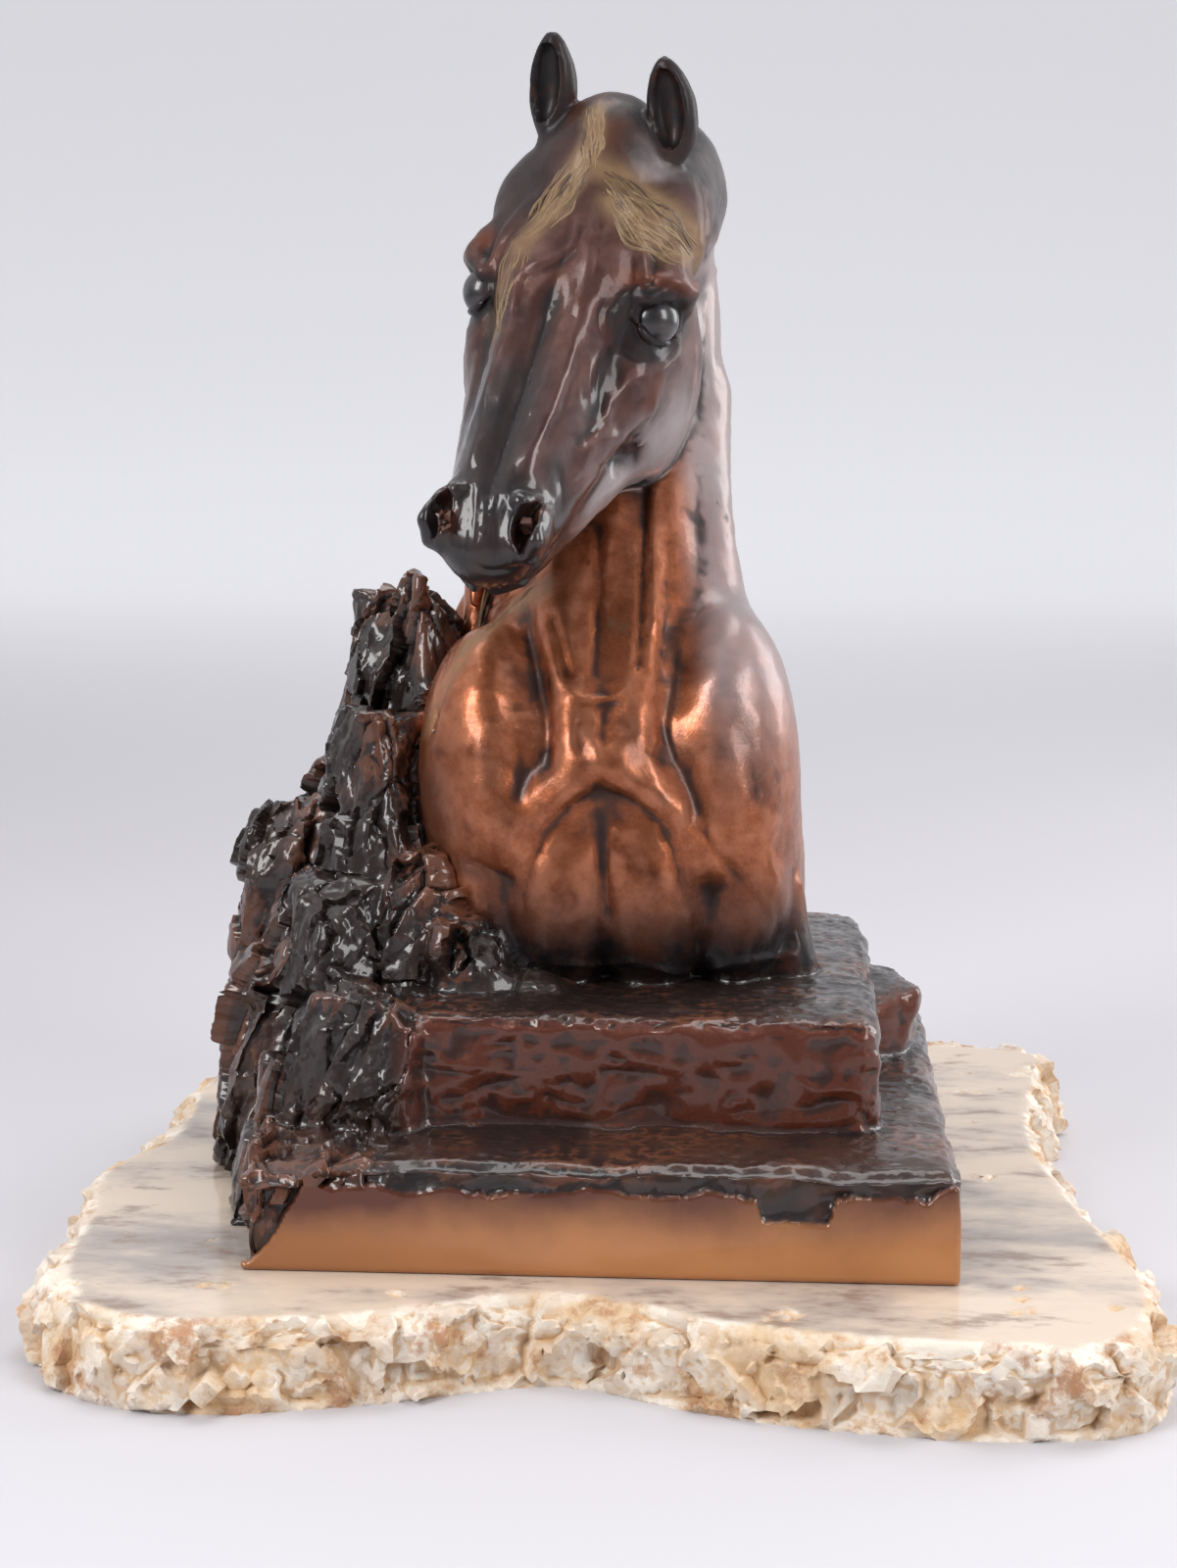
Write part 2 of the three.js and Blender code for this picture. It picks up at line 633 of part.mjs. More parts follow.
const isFace = ([x, y, z]) => {
  const [along, out] = headShare(x / scale, y / scale, z / scale);
  return out > -0.3 && along < 1.1;
};
const horseMesh = thin(
  outerSkin(polygonise(
    (x, y, z) => horseField(x / scale, y / scale, z / scale) * scale,
    [-90, -110, -12].map((v) => v * scale),
    [92, 122, 360].map((v) => v * scale),
    FIELD_STEP * scale,
  )),
  HORSE_TRIANGLES,
  (point) => (isFace(point) ? FACE_CARE : 1),
);

// How far the middle of the horse's drawing stands behind the upper ledge's front.
const HORSE_SETBACK = 84;
const horse = solidFrom(horseMesh.positions, horseMesh.triangles)
  .translate([0, upperFront + HORSE_SETBACK * scale, ledgeTop]);

const ledges = [
  ledge(
    LOWER_LEDGE_WIDTH, LOWER_LEDGE_DEPTH, LOWER_LEDGE_HEIGHT, lowerFront, SLAB_THICKNESS,
    true, LEDGE_CORNER_CHIP,
  ),
  ledge(
    UPPER_LEDGE_WIDTH, UPPER_LEDGE_DEPTH, UPPER_LEDGE_HEIGHT + LEDGE_OVERLAP, upperFront,
    SLAB_THICKNESS + LOWER_LEDGE_HEIGHT - LEDGE_OVERLAP, false, 0,
  ),
];

let casting = horse;
for (const geometry of crags) {
  geometry.translate(ledgeLeft, lowerFront, SLAB_THICKNESS);
  casting = casting.add(solidOf(geometry));
}
for (const geometry of ledges) casting = casting.add(solidOf(geometry));
casting = filled(casting);

// The slab

// The outline seen from above, from the front left corner towards the right, as shares of width and depth.
const OUTLINE = [
  [-0.4, -0.46], [-0.29, -0.48], [-0.16, -0.45], [-0.02, -0.4], [0.1, -0.45], [0.3, -0.49],
  [0.45, -0.47], [0.49, -0.35], [0.47, -0.16], [0.44, 0.05], [0.45, 0.27], [0.47, 0.45],
  [0.33, 0.49], [0.1, 0.47], [-0.15, 0.5], [-0.38, 0.43], [-0.46, 0.3], [-0.46, 0.06],
  [-0.5, -0.07], [-0.48, -0.2], [-0.46, -0.38],
];
const SLAB_SEGMENTS = 84;

function slabGeometry() {
  const curve = new THREE.CatmullRomCurve3(
    OUTLINE.map(([x, y]) => new THREE.Vector3(x * SLAB_WIDTH, y * SLAB_DEPTH, 0)), true, "centripetal",
  );
  const rim = curve.getSpacedPoints(SLAB_SEGMENTS).slice(0, SLAB_SEGMENTS);
  const levels = [[0, 0], [0.03, 0.35], [0, 0.72], [0.35, 0.93], [1, 1]];
  const profile = [new THREE.Vector2(0, 0)];
  for (const [, up] of levels) profile.push(new THREE.Vector2(1, up));
  profile.push(new THREE.Vector2(0, 1));
  const lathe = new THREE.LatheGeometry(profile, SLAB_SEGMENTS);
  const at = lathe.attributes.position;
  for (let n = 0; n < at.count; n++) {
    const row = n % profile.length;
    const column = Math.floor(n / profile.length) % SLAB_SEGMENTS;
    const up = profile[row].y;
    if (row === 0 || row === profile.length - 1) {
      at.setXYZ(n, 0, 0, up * SLAB_THICKNESS);
      continue;
    }
    const [inset] = levels[row - 1];
    const { x, y } = rim[column];
    const size = Math.hypot(x, y);
    const chip = Math.abs(uneven(column * 0.7, row * 1.3, 4)) * BREAK_ROUGHNESS;
    const out = (size - inset * BREAK_SLOPE - chip) / size;
    at.setXYZ(n, x * out, y * out, up * SLAB_THICKNESS);
  }
  return lathe;
}

// Brings the slab to its exact width and depth, with its middle over the origin.
function fitted(geometry) {
  geometry.computeBoundingBox();
  const { min, max } = geometry.boundingBox;
  geometry.translate(-(min.x + max.x) / 2, -(min.y + max.y) / 2, 0);
  return geometry.scale(SLAB_WIDTH / (max.x - min.x), SLAB_DEPTH / (max.y - min.y), 1);
}

// The finished object

function piece(name, geometry, color, roughness, metalness) {
  const mesh = new THREE.Mesh(geometry, new THREE.MeshStandardMaterial({ color, roughness, metalness }));
  mesh.name = name;
  return mesh;
}

const sculpture = new THREE.Group();
const bronze = piece("bronze_casting", geometryOf(casting), 0x7a3f22, 0.35, 0.8);
bronze.position.set(CASTING_OFFSET_X, CASTING_OFFSET_Y, 0);
const stone = piece("stone_slab", geometryOf(solidOf(fitted(slabGeometry()))), 0xd8c8b0, 0.3, 0);
sculpture.add(bronze, stone);

export default sculpture;
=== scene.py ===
"""A horse's head, neck and chest in patinated bronze, on stepped rock and a slab with broken edges."""

from __future__ import annotations

import logging
import math
from dataclasses import dataclass, field
from enum import Enum

import bmesh
import bpy
import numpy as np
from mathutils import Matrix, Vector
from mathutils.bvhtree import BVHTree

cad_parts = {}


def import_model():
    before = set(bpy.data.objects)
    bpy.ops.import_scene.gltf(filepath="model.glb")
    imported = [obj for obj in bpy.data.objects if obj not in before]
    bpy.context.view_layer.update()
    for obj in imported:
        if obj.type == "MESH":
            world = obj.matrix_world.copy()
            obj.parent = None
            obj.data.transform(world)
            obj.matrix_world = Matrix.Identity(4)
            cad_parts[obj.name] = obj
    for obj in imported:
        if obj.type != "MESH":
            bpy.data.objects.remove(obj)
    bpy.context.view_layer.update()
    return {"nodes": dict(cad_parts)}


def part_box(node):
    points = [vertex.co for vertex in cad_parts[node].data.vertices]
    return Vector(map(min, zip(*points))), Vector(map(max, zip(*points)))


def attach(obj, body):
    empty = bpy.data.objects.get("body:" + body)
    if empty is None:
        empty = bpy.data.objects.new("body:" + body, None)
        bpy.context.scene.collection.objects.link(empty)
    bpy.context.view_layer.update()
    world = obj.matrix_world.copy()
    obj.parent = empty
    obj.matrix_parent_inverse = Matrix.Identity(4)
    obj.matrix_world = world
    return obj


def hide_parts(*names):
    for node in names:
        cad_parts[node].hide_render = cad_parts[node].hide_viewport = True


LOG = logging.getLogger("horse_bronze")
MM = 0.001


class Slot(Enum):
    """The record's two finishes."""

    BRONZE = "bronze"
    STONE = "stone"


# Levels in millimetres
SLAB_TOP = 30.0
LOWER_LEDGE = 70.0
UPPER_LEDGE = 111.0

# The zero of the horse's own drawing, in millimetres, under the middle of its neck.
HORSE_ZERO = np.array([6.0, -5.0, UPPER_LEDGE])

# A distance beyond every form
FAR = 1e3

# Leaps in metres that break a line on the skin and a strand of hair, and the gap that a solid's copy closes
LINE_LEAP = 0.015
STRAND_LEAP = 0.009
WELD = 2e-6

# What a node's socket takes, a node's output, a line in the front view, and places with their facing
Inputs = dict[str | int, object]
Socket = bpy.types.NodeSocket
Path = list[tuple[float, float]]
Facings = list[tuple[np.ndarray, np.ndarray]]


# Viewpoint


def new_object(name: str, data: bpy.types.ID) -> bpy.types.Object:
    """Makes an object of some data and puts it in the scene."""
    obj = bpy.data.objects.new(name, data)
    bpy.context.scene.collection.objects.link(obj)
    return obj


@dataclass(frozen=True)
class Viewpoint:
    """The camera's place in metres, its turn and dip in degrees, and its lens in millimetres."""

    place: tuple[float, float, float] = (0.059174, -0.993413, 0.346964)
    turn: float = 3.74
    dip: float = 9.5
    lens: float = 60.0
    film: float = 36.0
    frame: tuple[int, int] = (1201, 1600)

    def ray(self, x: float, y: float) -> Vector:
        """Gives the direction in which the camera sees a point of its frame.

        Args:
            x: Pixels from the frame's left edge.
            y: Pixels from the frame's top edge.

        Returns:
            The direction, of length one.
        """
        turn, dip = math.radians(self.turn), math.radians(self.dip)
        ahead = Vector((-math.sin(turn) * math.cos(dip), math.cos(turn) * math.cos(dip), -math.sin(dip)))
        right = Vector((math.cos(turn), math.sin(turn), 0.0))
        up = right.cross(ahead)
        focal = self.lens / self.film * self.frame[1]
        across = (x - self.frame[0] / 2) / focal
        down = (y - self.frame[1] / 2) / focal
        return (ahead + right * across - up * down).normalized()

    def camera(self) -> bpy.types.Object:
        """Makes the scene's camera."""
        data = bpy.data.cameras.new("front_view")
        data.lens = self.lens
        data.sensor_width = self.film
        data.clip_start = 0.01
        data.clip_end = 100.0
        camera = new_object("front_view", data)
        camera.location = self.place
        camera.rotation_euler = (math.radians(90.0 - self.dip), 0.0, math.radians(self.turn))
        bpy.context.scene.camera = camera
        return camera


# Forms that the horse is worked from


def smooth_min(a: np.ndarray, b: np.ndarray, blend: float | np.ndarray) -> np.ndarray:
    """Joins two distances with a rounded passage as wide as blend."""
    near = np.maximum(blend - np.abs(a - b), 0.0) / blend
    return np.minimum(a, b) - near * near * blend * 0.25


def smoothstep(value: np.ndarray, low: float, high: float) -> np.ndarray:
    """Goes softly from 0 at low to 1 at high."""
    t = np.clip((value - low) / (high - low), 0.0, 1.0)
    return t * t * (3.0 - 2.0 * t)


@dataclass(frozen=True)
class Lump:
    """An ellipsoid with its middle and its three radii."""

    middle: tuple[float, float, float]
    radii: tuple[float, float, float]

    def distance(self, points: np.ndarray) -> np.ndarray:
        """Gives the distance of each point from the lump's surface, below zero inside it."""
        away = points - np.array(self.middle)
        near = np.sqrt(np.sum((away / np.array(self.radii)) ** 2, axis=1))
        steep = np.sqrt(np.sum((away / np.array(self.radii) ** 2) ** 2, axis=1))
        return near * (near - 1.0) / np.maximum(steep, 1e-9)


@dataclass(frozen=True)
class Strand:
    """Rods end to end through several points, each with its radius as a fourth number."""

    stops: tuple[tuple[float, float, float, float], ...]

    def distance(self, points: np.ndarray) -> np.ndarray:
        """Gives the distance of each point from the strand's surface, below zero inside it."""
        nearest = np.full(len(points), FAR)
        for start, end in zip(self.stops, self.stops[1:]):
            origin, span = np.array(start[:3]), np.array(end[:3]) - np.array(start[:3])
            away = points - origin
            along = np.clip(away @ span / (span @ span), 0.0, 1.0)
            gap = np.sqrt(np.sum((away - along[:, None] * span) ** 2, axis=1))
            nearest = np.minimum(nearest, gap - (start[3] + (end[3] - start[3]) * along))
        return nearest


@dataclass(frozen=True)
class Worked:
    """A form that is raised from what came before it, or cut into it, with its blend."""

    blend: float
    form: Lump | Strand
    cut: bool = False


def rod(start: tuple[float, ...], end: tuple[float, ...], first: float, last: float) -> Strand:
    """Gives a strand of one rod whose radius changes evenly from first to last."""
    return Strand(((*start, first), (*end, last)))


def carved(forms: list[Worked], points: np.ndarray) -> np.ndarray:
    """Gives the distance from all forms together.

    Args:
        forms: The forms in the order in which they are worked.
        points: The places to measure, one row each.

    Returns:
        One distance a point, below zero inside.
    """
    distance = np.full(len(points), FAR)
    for worked in forms:
        here = worked.form.distance(points)
        if worked.cut:
            distance = -smooth_min(-distance, here, worked.blend)
        else:
            distance = smooth_min(distance, here, worked.blend)
    return distance


@dataclass
class HorseForm:
    """The horse in millimetres from its own zero, with its head in shares of its own length."""

    pitch: float = 28.0
    roll: float = 9.0
    yaw: float = 14.0
    head_length: float = 198.0
    poll: tuple[float, float, float] = (-4.0, 15.0, 326.0)
    ear_length: float = 34.0
    eye_middle: tuple[float, float, float] = (0.37, -0.125, 0.158)
    eyeball: tuple[float, float, float] = (0.37, -0.121, 0.167)
    eye_radius: float = 0.047
    nostril_wing: Lump = Lump((0.86, -0.058, 0.098), (0.052, 0.046, 0.02))
    body: list[Worked] = field(default_factory=list)
    skull: list[Worked] = field(default_factory=list)
    fine_body: list[Worked] = field(default_factory=list)
    fine_skull: list[Worked] = field(default_factory=list)

    def __post_init__(self) -> None:
        """Sets the head's axes, and gathers the forms of neck, chest and head."""
        turned = (
            Matrix.Rotation(-math.radians(self.yaw), 3, "Z")
            @ Matrix.Rotation(math.radians(self.roll), 3, "Y")
            @ Matrix.Rotation(-math.radians(self.pitch), 3, "X")
        )
        self.axes = np.array([turned @ Vector(v) for v in ((0, 0, -1), (0, -1, 0), (1, 0, 0))])
        self.body = self._body_forms()
        self.skull = self._skull_forms()
        self.fine_body = self._fine_body_forms()
        self.fine_skull = [*self._fine_skull_forms(), *self._eyelids()]

    def _body_forms(self) -> list[Worked]:
        """Gives the neck's and chest's forms, as the solid has them."""
        return [
            Worked(24, Lump((0, 40, 36), (67, 60, 84))),
            Worked(24, Lump((-1, 62, 108), (46, 44, 72))),
            Worked(22, Lump((-2, 8, 62), (60, 48, 58))),
            Worked(20, Lump((-3, 44, 112), (53, 54, 60))),
            Worked(20, Lump((-3, 82, 186), (41, 37, 72))),
            Worked(18, Lump((2, 84, 248), (34, 34, 58))),
            Worked(14, Lump((8, 58, 294), (31, 32, 34))),
            Worked(14, Lump((-2, 48, 252), (24, 30, 38))),
            Worked(8, Lump((-5, 29, 308), (19, 20, 21))),
            Worked(16, Lump((-51, 2, 74), (26, 36, 56))),
            Worked(16, Lump((43, 5, 76), (26, 38, 62))),
            Worked(14, Lump((-40, 16, 18), (27, 42, 46))),
            Worked(14, Lump((46, 20, 20), (25, 48, 46))),
            Worked(5, rod((64, -2, 30), (66, -6, 2), 7, 11)),
            Worked(9, Lump((-21, -22, 32), (22, 19, 40))),
            Worked(9, Lump((14, -22, 34), (22, 19, 40))),
            Worked(10, rod((-36, -28, 50), (-9, -36, 84), 9, 7)),
            Worked(10, rod((34, -26, 50), (3, -36, 84), 9, 7)),
            Worked(12, rod((-52, -20, 30), (-36, -24, 92), 10, 8)),
            Worked(12, rod((51, -18, 30), (35, -20, 94), 10, 8)),
            Worked(6, rod((-5, -14, 96), (-4, 62, 204), 17, 15)),
            Worked(7, rod((-14, -30, 92), (-28, 56, 200), 9, 12)),
            Worked(7, rod((6, -30, 92), (19, 58, 200), 9, 11)),
            Worked(14, rod((36, 6, 108), (30, 78, 216), 12, 8)),
            Worked(12, Strand((
                (0, 92, 40, 12), (0, 100, 120, 13), (0, 104, 200, 11), (2, 96, 250, 10),
                (3, 76, 292, 9), (2, 46, 314, 8), (-2, 30, 315, 9),
            ))),
            *[Worked(4, Strand(tuple(lock))) for lock in self.mane_locks(8)],
        ]

    @staticmethod
    def mane_locks(count: int, wave: float = 4.0) -> list[list[tuple[float, float, float, float]]]:
        """Gives the stops of the mane's locks, from the poll down the neck.

        Args:
            count: How many locks.
            wave: How far every second lock stands out, in millimetres.

        Returns:
            Five stops a lock, each with its radius.
        """
        locks = []
        for number in range(count):
            down = number / (count - 1)
            rise = 306 - 178 * down
            back = 104 - 40 * (1 - down) ** 3
            wide = 36 + 22 * min(down * 1.6, 1) + number % 2 * wave
            drop = 70 + 26 * down
            ahead = 50 + 28 * down
            locks.append([
                (-4, back, rise, 7),
                (-wide * 0.72, back - ahead * 0.2, rise - drop * 0.24, 9),
                (-wide, back - ahead * 0.5, rise - drop * 0.58, 8.5),
                (-wide - 3, back - ahead * 0.8, rise - drop * 0.9, 6),
                (-wide - 8 * down, back - ahead, rise - drop * 1.15, 2),
            ])
        return locks

    def _skull_forms(self) -> list[Worked]:
        """Gives the head's forms on one side, as the solid has them, then the finer ones."""
        return [
            Worked(0.05, Lump((0.13, -0.13, 0), (0.15, 0.11, 0.12))),
            Worked(0.05, Lump((0.17, -0.15, 0.115), (0.13, 0.1, 0.1))),
            Worked(0.06, Lump((0.28, -0.09, 0), (0.17, 0.085, 0.165))),
            Worked(0.05, rod((0.3, -0.09, 0.045), (0.8, -0.06, 0.03), 0.08, 0.052)),
            Worked(0.05, rod((0.4, -0.2, 0.13), (0.8, -0.12, 0.05), 0.065, 0.06)),
            Worked(0.05, rod((0.42, -0.28, 0.06), (0.84, -0.15, 0.02), 0.1, 0.06)),
            Worked(0.05, Lump((0.38, -0.29, 0.15), (0.17, 0.19, 0.062))),
            Worked(0.03, Lump((0.46, -0.36, 0.145), (0.125, 0.13, 0.06))),
            Worked(0.04, rod((0.53, -0.37, 0.105), (0.85, -0.2, 0.03), 0.055, 0.045)),
            Worked(0.035, Lump((0.86, -0.085, 0), (0.1, 0.08, 0.09))),
            Worked(0.02, Lump((0.86, -0.055, 0.074), (0.07, 0.054, 0.036))),
            Worked(0.03, Lump((0.905, -0.1, 0), (0.045, 0.07, 0.072))),
            Worked(0.025, Lump((0.88, -0.19, 0), (0.058, 0.036, 0.052))),
            Worked(0.03, Lump((0.3, -0.11, 0.18), (0.06, 0.055, 0.04))),
            Worked(0.02, Strand((
                (0.44, -0.17, 0.17, 0.018), (0.5, -0.2, 0.17, 0.02), (0.64, -0.16, 0.12, 0.014),
            ))),
            Worked(0.02, Lump((0.38, -0.12, 0.22), (0.055, 0.055, 0.045)), cut=True),
            Worked(0.006, Lump(self.eye_middle, (self.eye_radius,) * 3)),
            Worked(0.012, Strand((
                (0.35, -0.19, 0.19, 0.01), (0.315, -0.165, 0.205, 0.018), (0.3, -0.12, 0.21, 0.027),
                (0.312, -0.08, 0.196, 0.023), (0.36, -0.06, 0.165, 0.014),
            ))),
            Worked(0.012, Lump((0.86, -0.035, 0.09), (0.055, 0.034, 0.026)), cut=True),
            Worked(0.01, rod((0.965, -0.165, 0), (0.81, -0.16, 0.1), 0.007, 0.005), cut=True),
        ]

    @staticmethod
    def _fine_body_forms() -> list[Worked]:
        """Gives the muscles of chest and shoulders that are finer than the solid's."""
        return [
            Worked(8, rod((-14, -36, 84), (-34, -34, 64), 3.4, 3.0)),
            Worked(8, rod((1, -36, 84), (22, -35, 68), 3.2, 3.0)),
            Worked(8, Lump((-20, -30, 34), (15, 14, 26))),
            Worked(8, Lump((11, -30, 36), (14, 14, 27))),
            Worked(10, rod((-48, -20, 104), (-44, -28, 62), 8, 10)),
            Worked(10, rod((38, -16, 108), (46, -23, 62), 7, 10)),
            Worked(9, rod((-50, -22, 40), (-44, -26, 12), 7, 8)),
            Worked(9, rod((50, -19, 40), (44, -22, 10), 8, 8)),
        ]

    def _fine_skull_forms(self) -> list[Worked]:
        """Gives the folds, bones and veins of one side of the head that are finer than the solid's."""
        return [
            Worked(0.03, rod((0.42, 0.006, 0.0), (0.74, 0.018, 0.0), 0.009, 0.01), cut=True),
            Worked(0.014, Strand((
                (0.36, -0.02, 0.078, 0.012), (0.55, -0.03, 0.066, 0.012), (0.76, -0.02, 0.05, 0.01),
            ))),
            Worked(0.012, rod((0.5, -0.13, 0.145), (0.72, -0.105, 0.105), 0.009, 0.007)),
            Worked(0.016, Strand((
                (0.22, -0.03, 0.1, 0.01), (0.3, -0.045, 0.14, 0.012), (0.36, -0.06, 0.15, 0.01),
            ))),
            Worked(0.014, Strand((
                (0.47, -0.24, 0.2, 0.005), (0.56, -0.26, 0.17, 0.005), (0.64, -0.23, 0.132, 0.002),
            ))),
            Worked(0.03, Lump((0.4, -0.32, 0.185), (0.1, 0.11, 0.03))),
            Worked(0.012, Strand((
                (0.82, -0.01, 0.06, 0.014), (0.845, -0.005, 0.09, 0.016), (0.885, -0.02, 0.105, 0.014),
            ))),
            Worked(0.012, Strand((
                (0.885, -0.02, 0.105, 0.014), (0.91, -0.05, 0.098, 0.014), (0.9, -0.075, 0.075, 0.01),
            ))),
            Worked(0.014, self.nostril_wing),
            Worked(0.012, Lump((0.862, -0.012, 0.081), (0.04, 0.036, 0.021)), cut=True),
            Worked(0.012, Strand((
                (0.95, -0.14, 0.02, 0.012), (0.92, -0.15, 0.06, 0.012), (0.86, -0.14, 0.09, 0.01),
            ))),
            Worked(0.008, rod((0.965, -0.165, 0), (0.81, -0.16, 0.1), 0.006, 0.004), cut=True),
        ]

    def _eyelids(self) -> list[Worked]:
        """Gives the lids of one eye, two arcs that lie on the eyeball and meet in its corners."""
        outward = np.array([0.02, 0.5, 0.86])
        outward /= np.linalg.norm(outward)
        forward = np.cross(outward, np.array([1.0, 0.0, 0.0]))
        forward = forward / np.linalg.norm(forward) + np.array([0.32, 0.0, 0.0])
        forward -= outward * (forward @ outward)
        forward /= np.linalg.norm(forward)
        down = np.cross(forward, outward)
        if down[0] < 0:
            down = -down
        lids = []
        for side, tilt, radius in ((-1.0, 58.0, 0.0105), (1.0, 68.0, 0.007)):
            stops = []
            for turn in np.linspace(0.0, math.pi, 9):
                off = math.radians(84.0 - (84.0 - tilt) * math.sin(turn))
                aside = forward * math.cos(turn) + down * side * math.sin(turn)
                place = np.array(self.eyeball) + self.eye_radius * (
                    outward * math.cos(off) + aside * math.sin(off) * (1.0 + 0.22 * abs(math.cos(turn))))
                stops.append((*place, radius * (0.75 + 0.25 * math.sin(turn))))
            lids.append(Worked(0.009, Strand(tuple(stops))))
        return lids

    def head_share(self, points: np.ndarray) -> np.ndarray:
        """Gives each point along the face, out of it and to the horse's left, in head lengths."""
        return (points - np.array(self.poll)) @ self.axes.T / self.head_length

    def head_place(self, along: float, out: float, left: float) -> np.ndarray:
        """Gives the place, in millimetres, of a point in head lengths."""
        return np.array(self.poll) + (np.array([along, out, left]) @ self.axes) * self.head_length

    def _ear(self, side: int, points: np.ndarray) -> np.ndarray:
        """Gives the distance from one ear, a pointed leaf hollowed from the side that it opens to."""
        root, up, opening, across = self._ear_axes(side)
        length = self.ear_length
        away = points - root
        u, v, w = away @ up / length, away @ opening, away @ across
        t = np.clip(u, -0.15, 1.0)
        past = np.abs(u - t) * length
        wide = self._ear_width(t)
        outside = np.sqrt(w ** 2 + (v * 1.2 + wide * 0.25) ** 2 + past ** 2) - wide
        stalk_root = self.head_place(0.12, -0.12, side * 0.09)
        stalk = rod(tuple(stalk_root), tuple(root + up * length * 0.22), 9, 4.5).distance(points)
        whole = smooth_min(outside, stalk, 4.0)
        return -smooth_min(-whole, self.ear_hollow(points, side), 1.2)

    def ear_hollow(self, points: np.ndarray, side: int) -> np.ndarray:
        """Gives the distance from the hollow of one ear, below zero inside it."""
        root, up, opening, across = self._ear_axes(side)
        away = points - root
        t = np.clip(away @ up / self.ear_length, -0.15, 1.0)
        wide = self._ear_width(t)
        mouth = np.sqrt(np.maximum(t - 0.02, 0) * np.maximum(0.88 - t, 0)) * self.ear_length * 0.46
        return np.sqrt((away @ across) ** 2 + ((away @ opening - wide * 0.6) * 0.8) ** 2) - mouth

    def _ear_width(self, t: np.ndarray) -> np.ndarray:
        """Gives an ear's half width at shares of its length."""
        return np.sqrt(np.maximum(t + 0.15, 0)) * np.maximum(1 - t, 0) ** 0.62 * self.ear_length * 0.52

    def _ear_axes(self, side: int) -> tuple[np.ndarray, np.ndarray, np.ndarray, np.ndarray]:
        """Gives an ear's root, and its directions up, out of its opening and across."""
        root = self.head_place(0.036 + side * 0.008, -0.06, side * 0.13)
        up = np.array([-0.75, 0.62, -0.15 - side * 0.1]) @ self.axes
        up /= np.linalg.norm(up)
        opening = np.array([0.6, 0.75, side * 0.12 - 0.17]) @ self.axes
        opening -= up * (opening @ up)
        opening /= np.linalg.norm(opening)
        return root, up, opening, np.cross(up, opening)

    def head_distance(self, points: np.ndarray, fine: bool) -> np.ndarray:
        """Gives the distance from the head without its ears, in millimetres."""
        share = self.head_share(points)
        folded = np.column_stack([share[:, 0], share[:, 1], np.abs(share[:, 2])])
        forms = self.skull + self.fine_skull if fine else self.skull
        return carved(forms, folded) * self.head_length

    def distances(self, points: np.ndarray, fine: bool = True) -> tuple[np.ndarray, np.ndarray]:
        """Gives the distance from the whole horse, and from its head alone.

        Args:
            points: Places in millimetres from the horse's zero.
            fine: Whether the forms that are finer than the solid's count too.

        Returns:
            The two distances, below zero inside.
        """
        head = self.head_distance(points, fine)
        share = self.head_share(points)
        blend = 20.0 - 17.0 * smoothstep(share[:, 0] - share[:, 1] * 0.4, 0.12, 0.3)
        body = carved(self.body + self.fine_body if fine else self.body, points)
        whole = smooth_min(head, body, blend)
        ears = np.minimum(self._ear(-1, points), self._ear(1, points))
        for side in (-1, 1):
            whole = smooth_min(whole, self._ear(side, points), 3.0)
        return np.maximum(whole, -points[:, 2] - 8.0), np.minimum(head, ears)


# Unevenness


def scrambled(cell: np.ndarray, seed: int) -> np.ndarray:
    """Gives each cell a whole number that seems drawn by chance."""
    mixed = cell[:, 0] * 73856093 ^ cell[:, 1] * 19349663 ^ cell[:, 2] * 83492791
    return (mixed ^ (seed * 2654435761)) & 0x7FFFFFFF


def lattice_noise(points: np.ndarray, seed: int = 0) -> np.ndarray:
    """Gives unevenness from -1 to 1 that changes smoothly over a distance of one.

    Args:
        points: The places to read, one row each.
        seed: A number for each pattern.

    Returns:
        One value a point.
    """
    cell = np.floor(points).astype(np.int64)
    part = points - cell
    part = part * part * (3.0 - 2.0 * part)

    def corner(dx: int, dy: int, dz: int) -> np.ndarray:
        mixed = (scrambled(cell + np.array([dx, dy, dz]), seed) * 1103515245 + 12345) & 0x7FFFFFFF
        mixed = (mixed ^ (mixed >> 13)) * 1274126177 & 0x7FFFFFFF
        return mixed / 0x3FFFFFFF - 1.0

    u, v, w = part.T
    rows = []
    for dz in (0, 1):
        for dy in (0, 1):
            rows.append(corner(0, dy, dz) * (1 - u) + corner(1, dy, dz) * u)
    near = rows[0] * (1 - v) + rows[1] * v
    far = rows[2] * (1 - v) + rows[3] * v
    return near * (1 - w) + far * w


def drift(points: np.ndarray, seed: int) -> np.ndarray:
    """Gives unevenness in three directions at once, from three patterns in a row."""
    return np.column_stack([lattice_noise(points, seed + axis) for axis in range(3)])


def ridged_noise(points: np.ndarray, octaves: int, seed: int = 0) -> np.ndarray:
    """Gives sharp ridges between hollows, from 0 to 1, in several sizes.

    Args:
        points: The places to read, one row each.
        octaves: How many sizes, each half as large as the one before.
        seed: A number for each pattern.

    Returns:
        One value a point, 1 on the ridges.
    """
    total, weight = np.zeros(len(points)), 0.0
    for number in range(octaves):
        share = 0.5 ** number
        total += (1.0 - np.abs(lattice_noise(points * 2.0 ** number, seed + number))) * share
        weight += share
    return total / weight


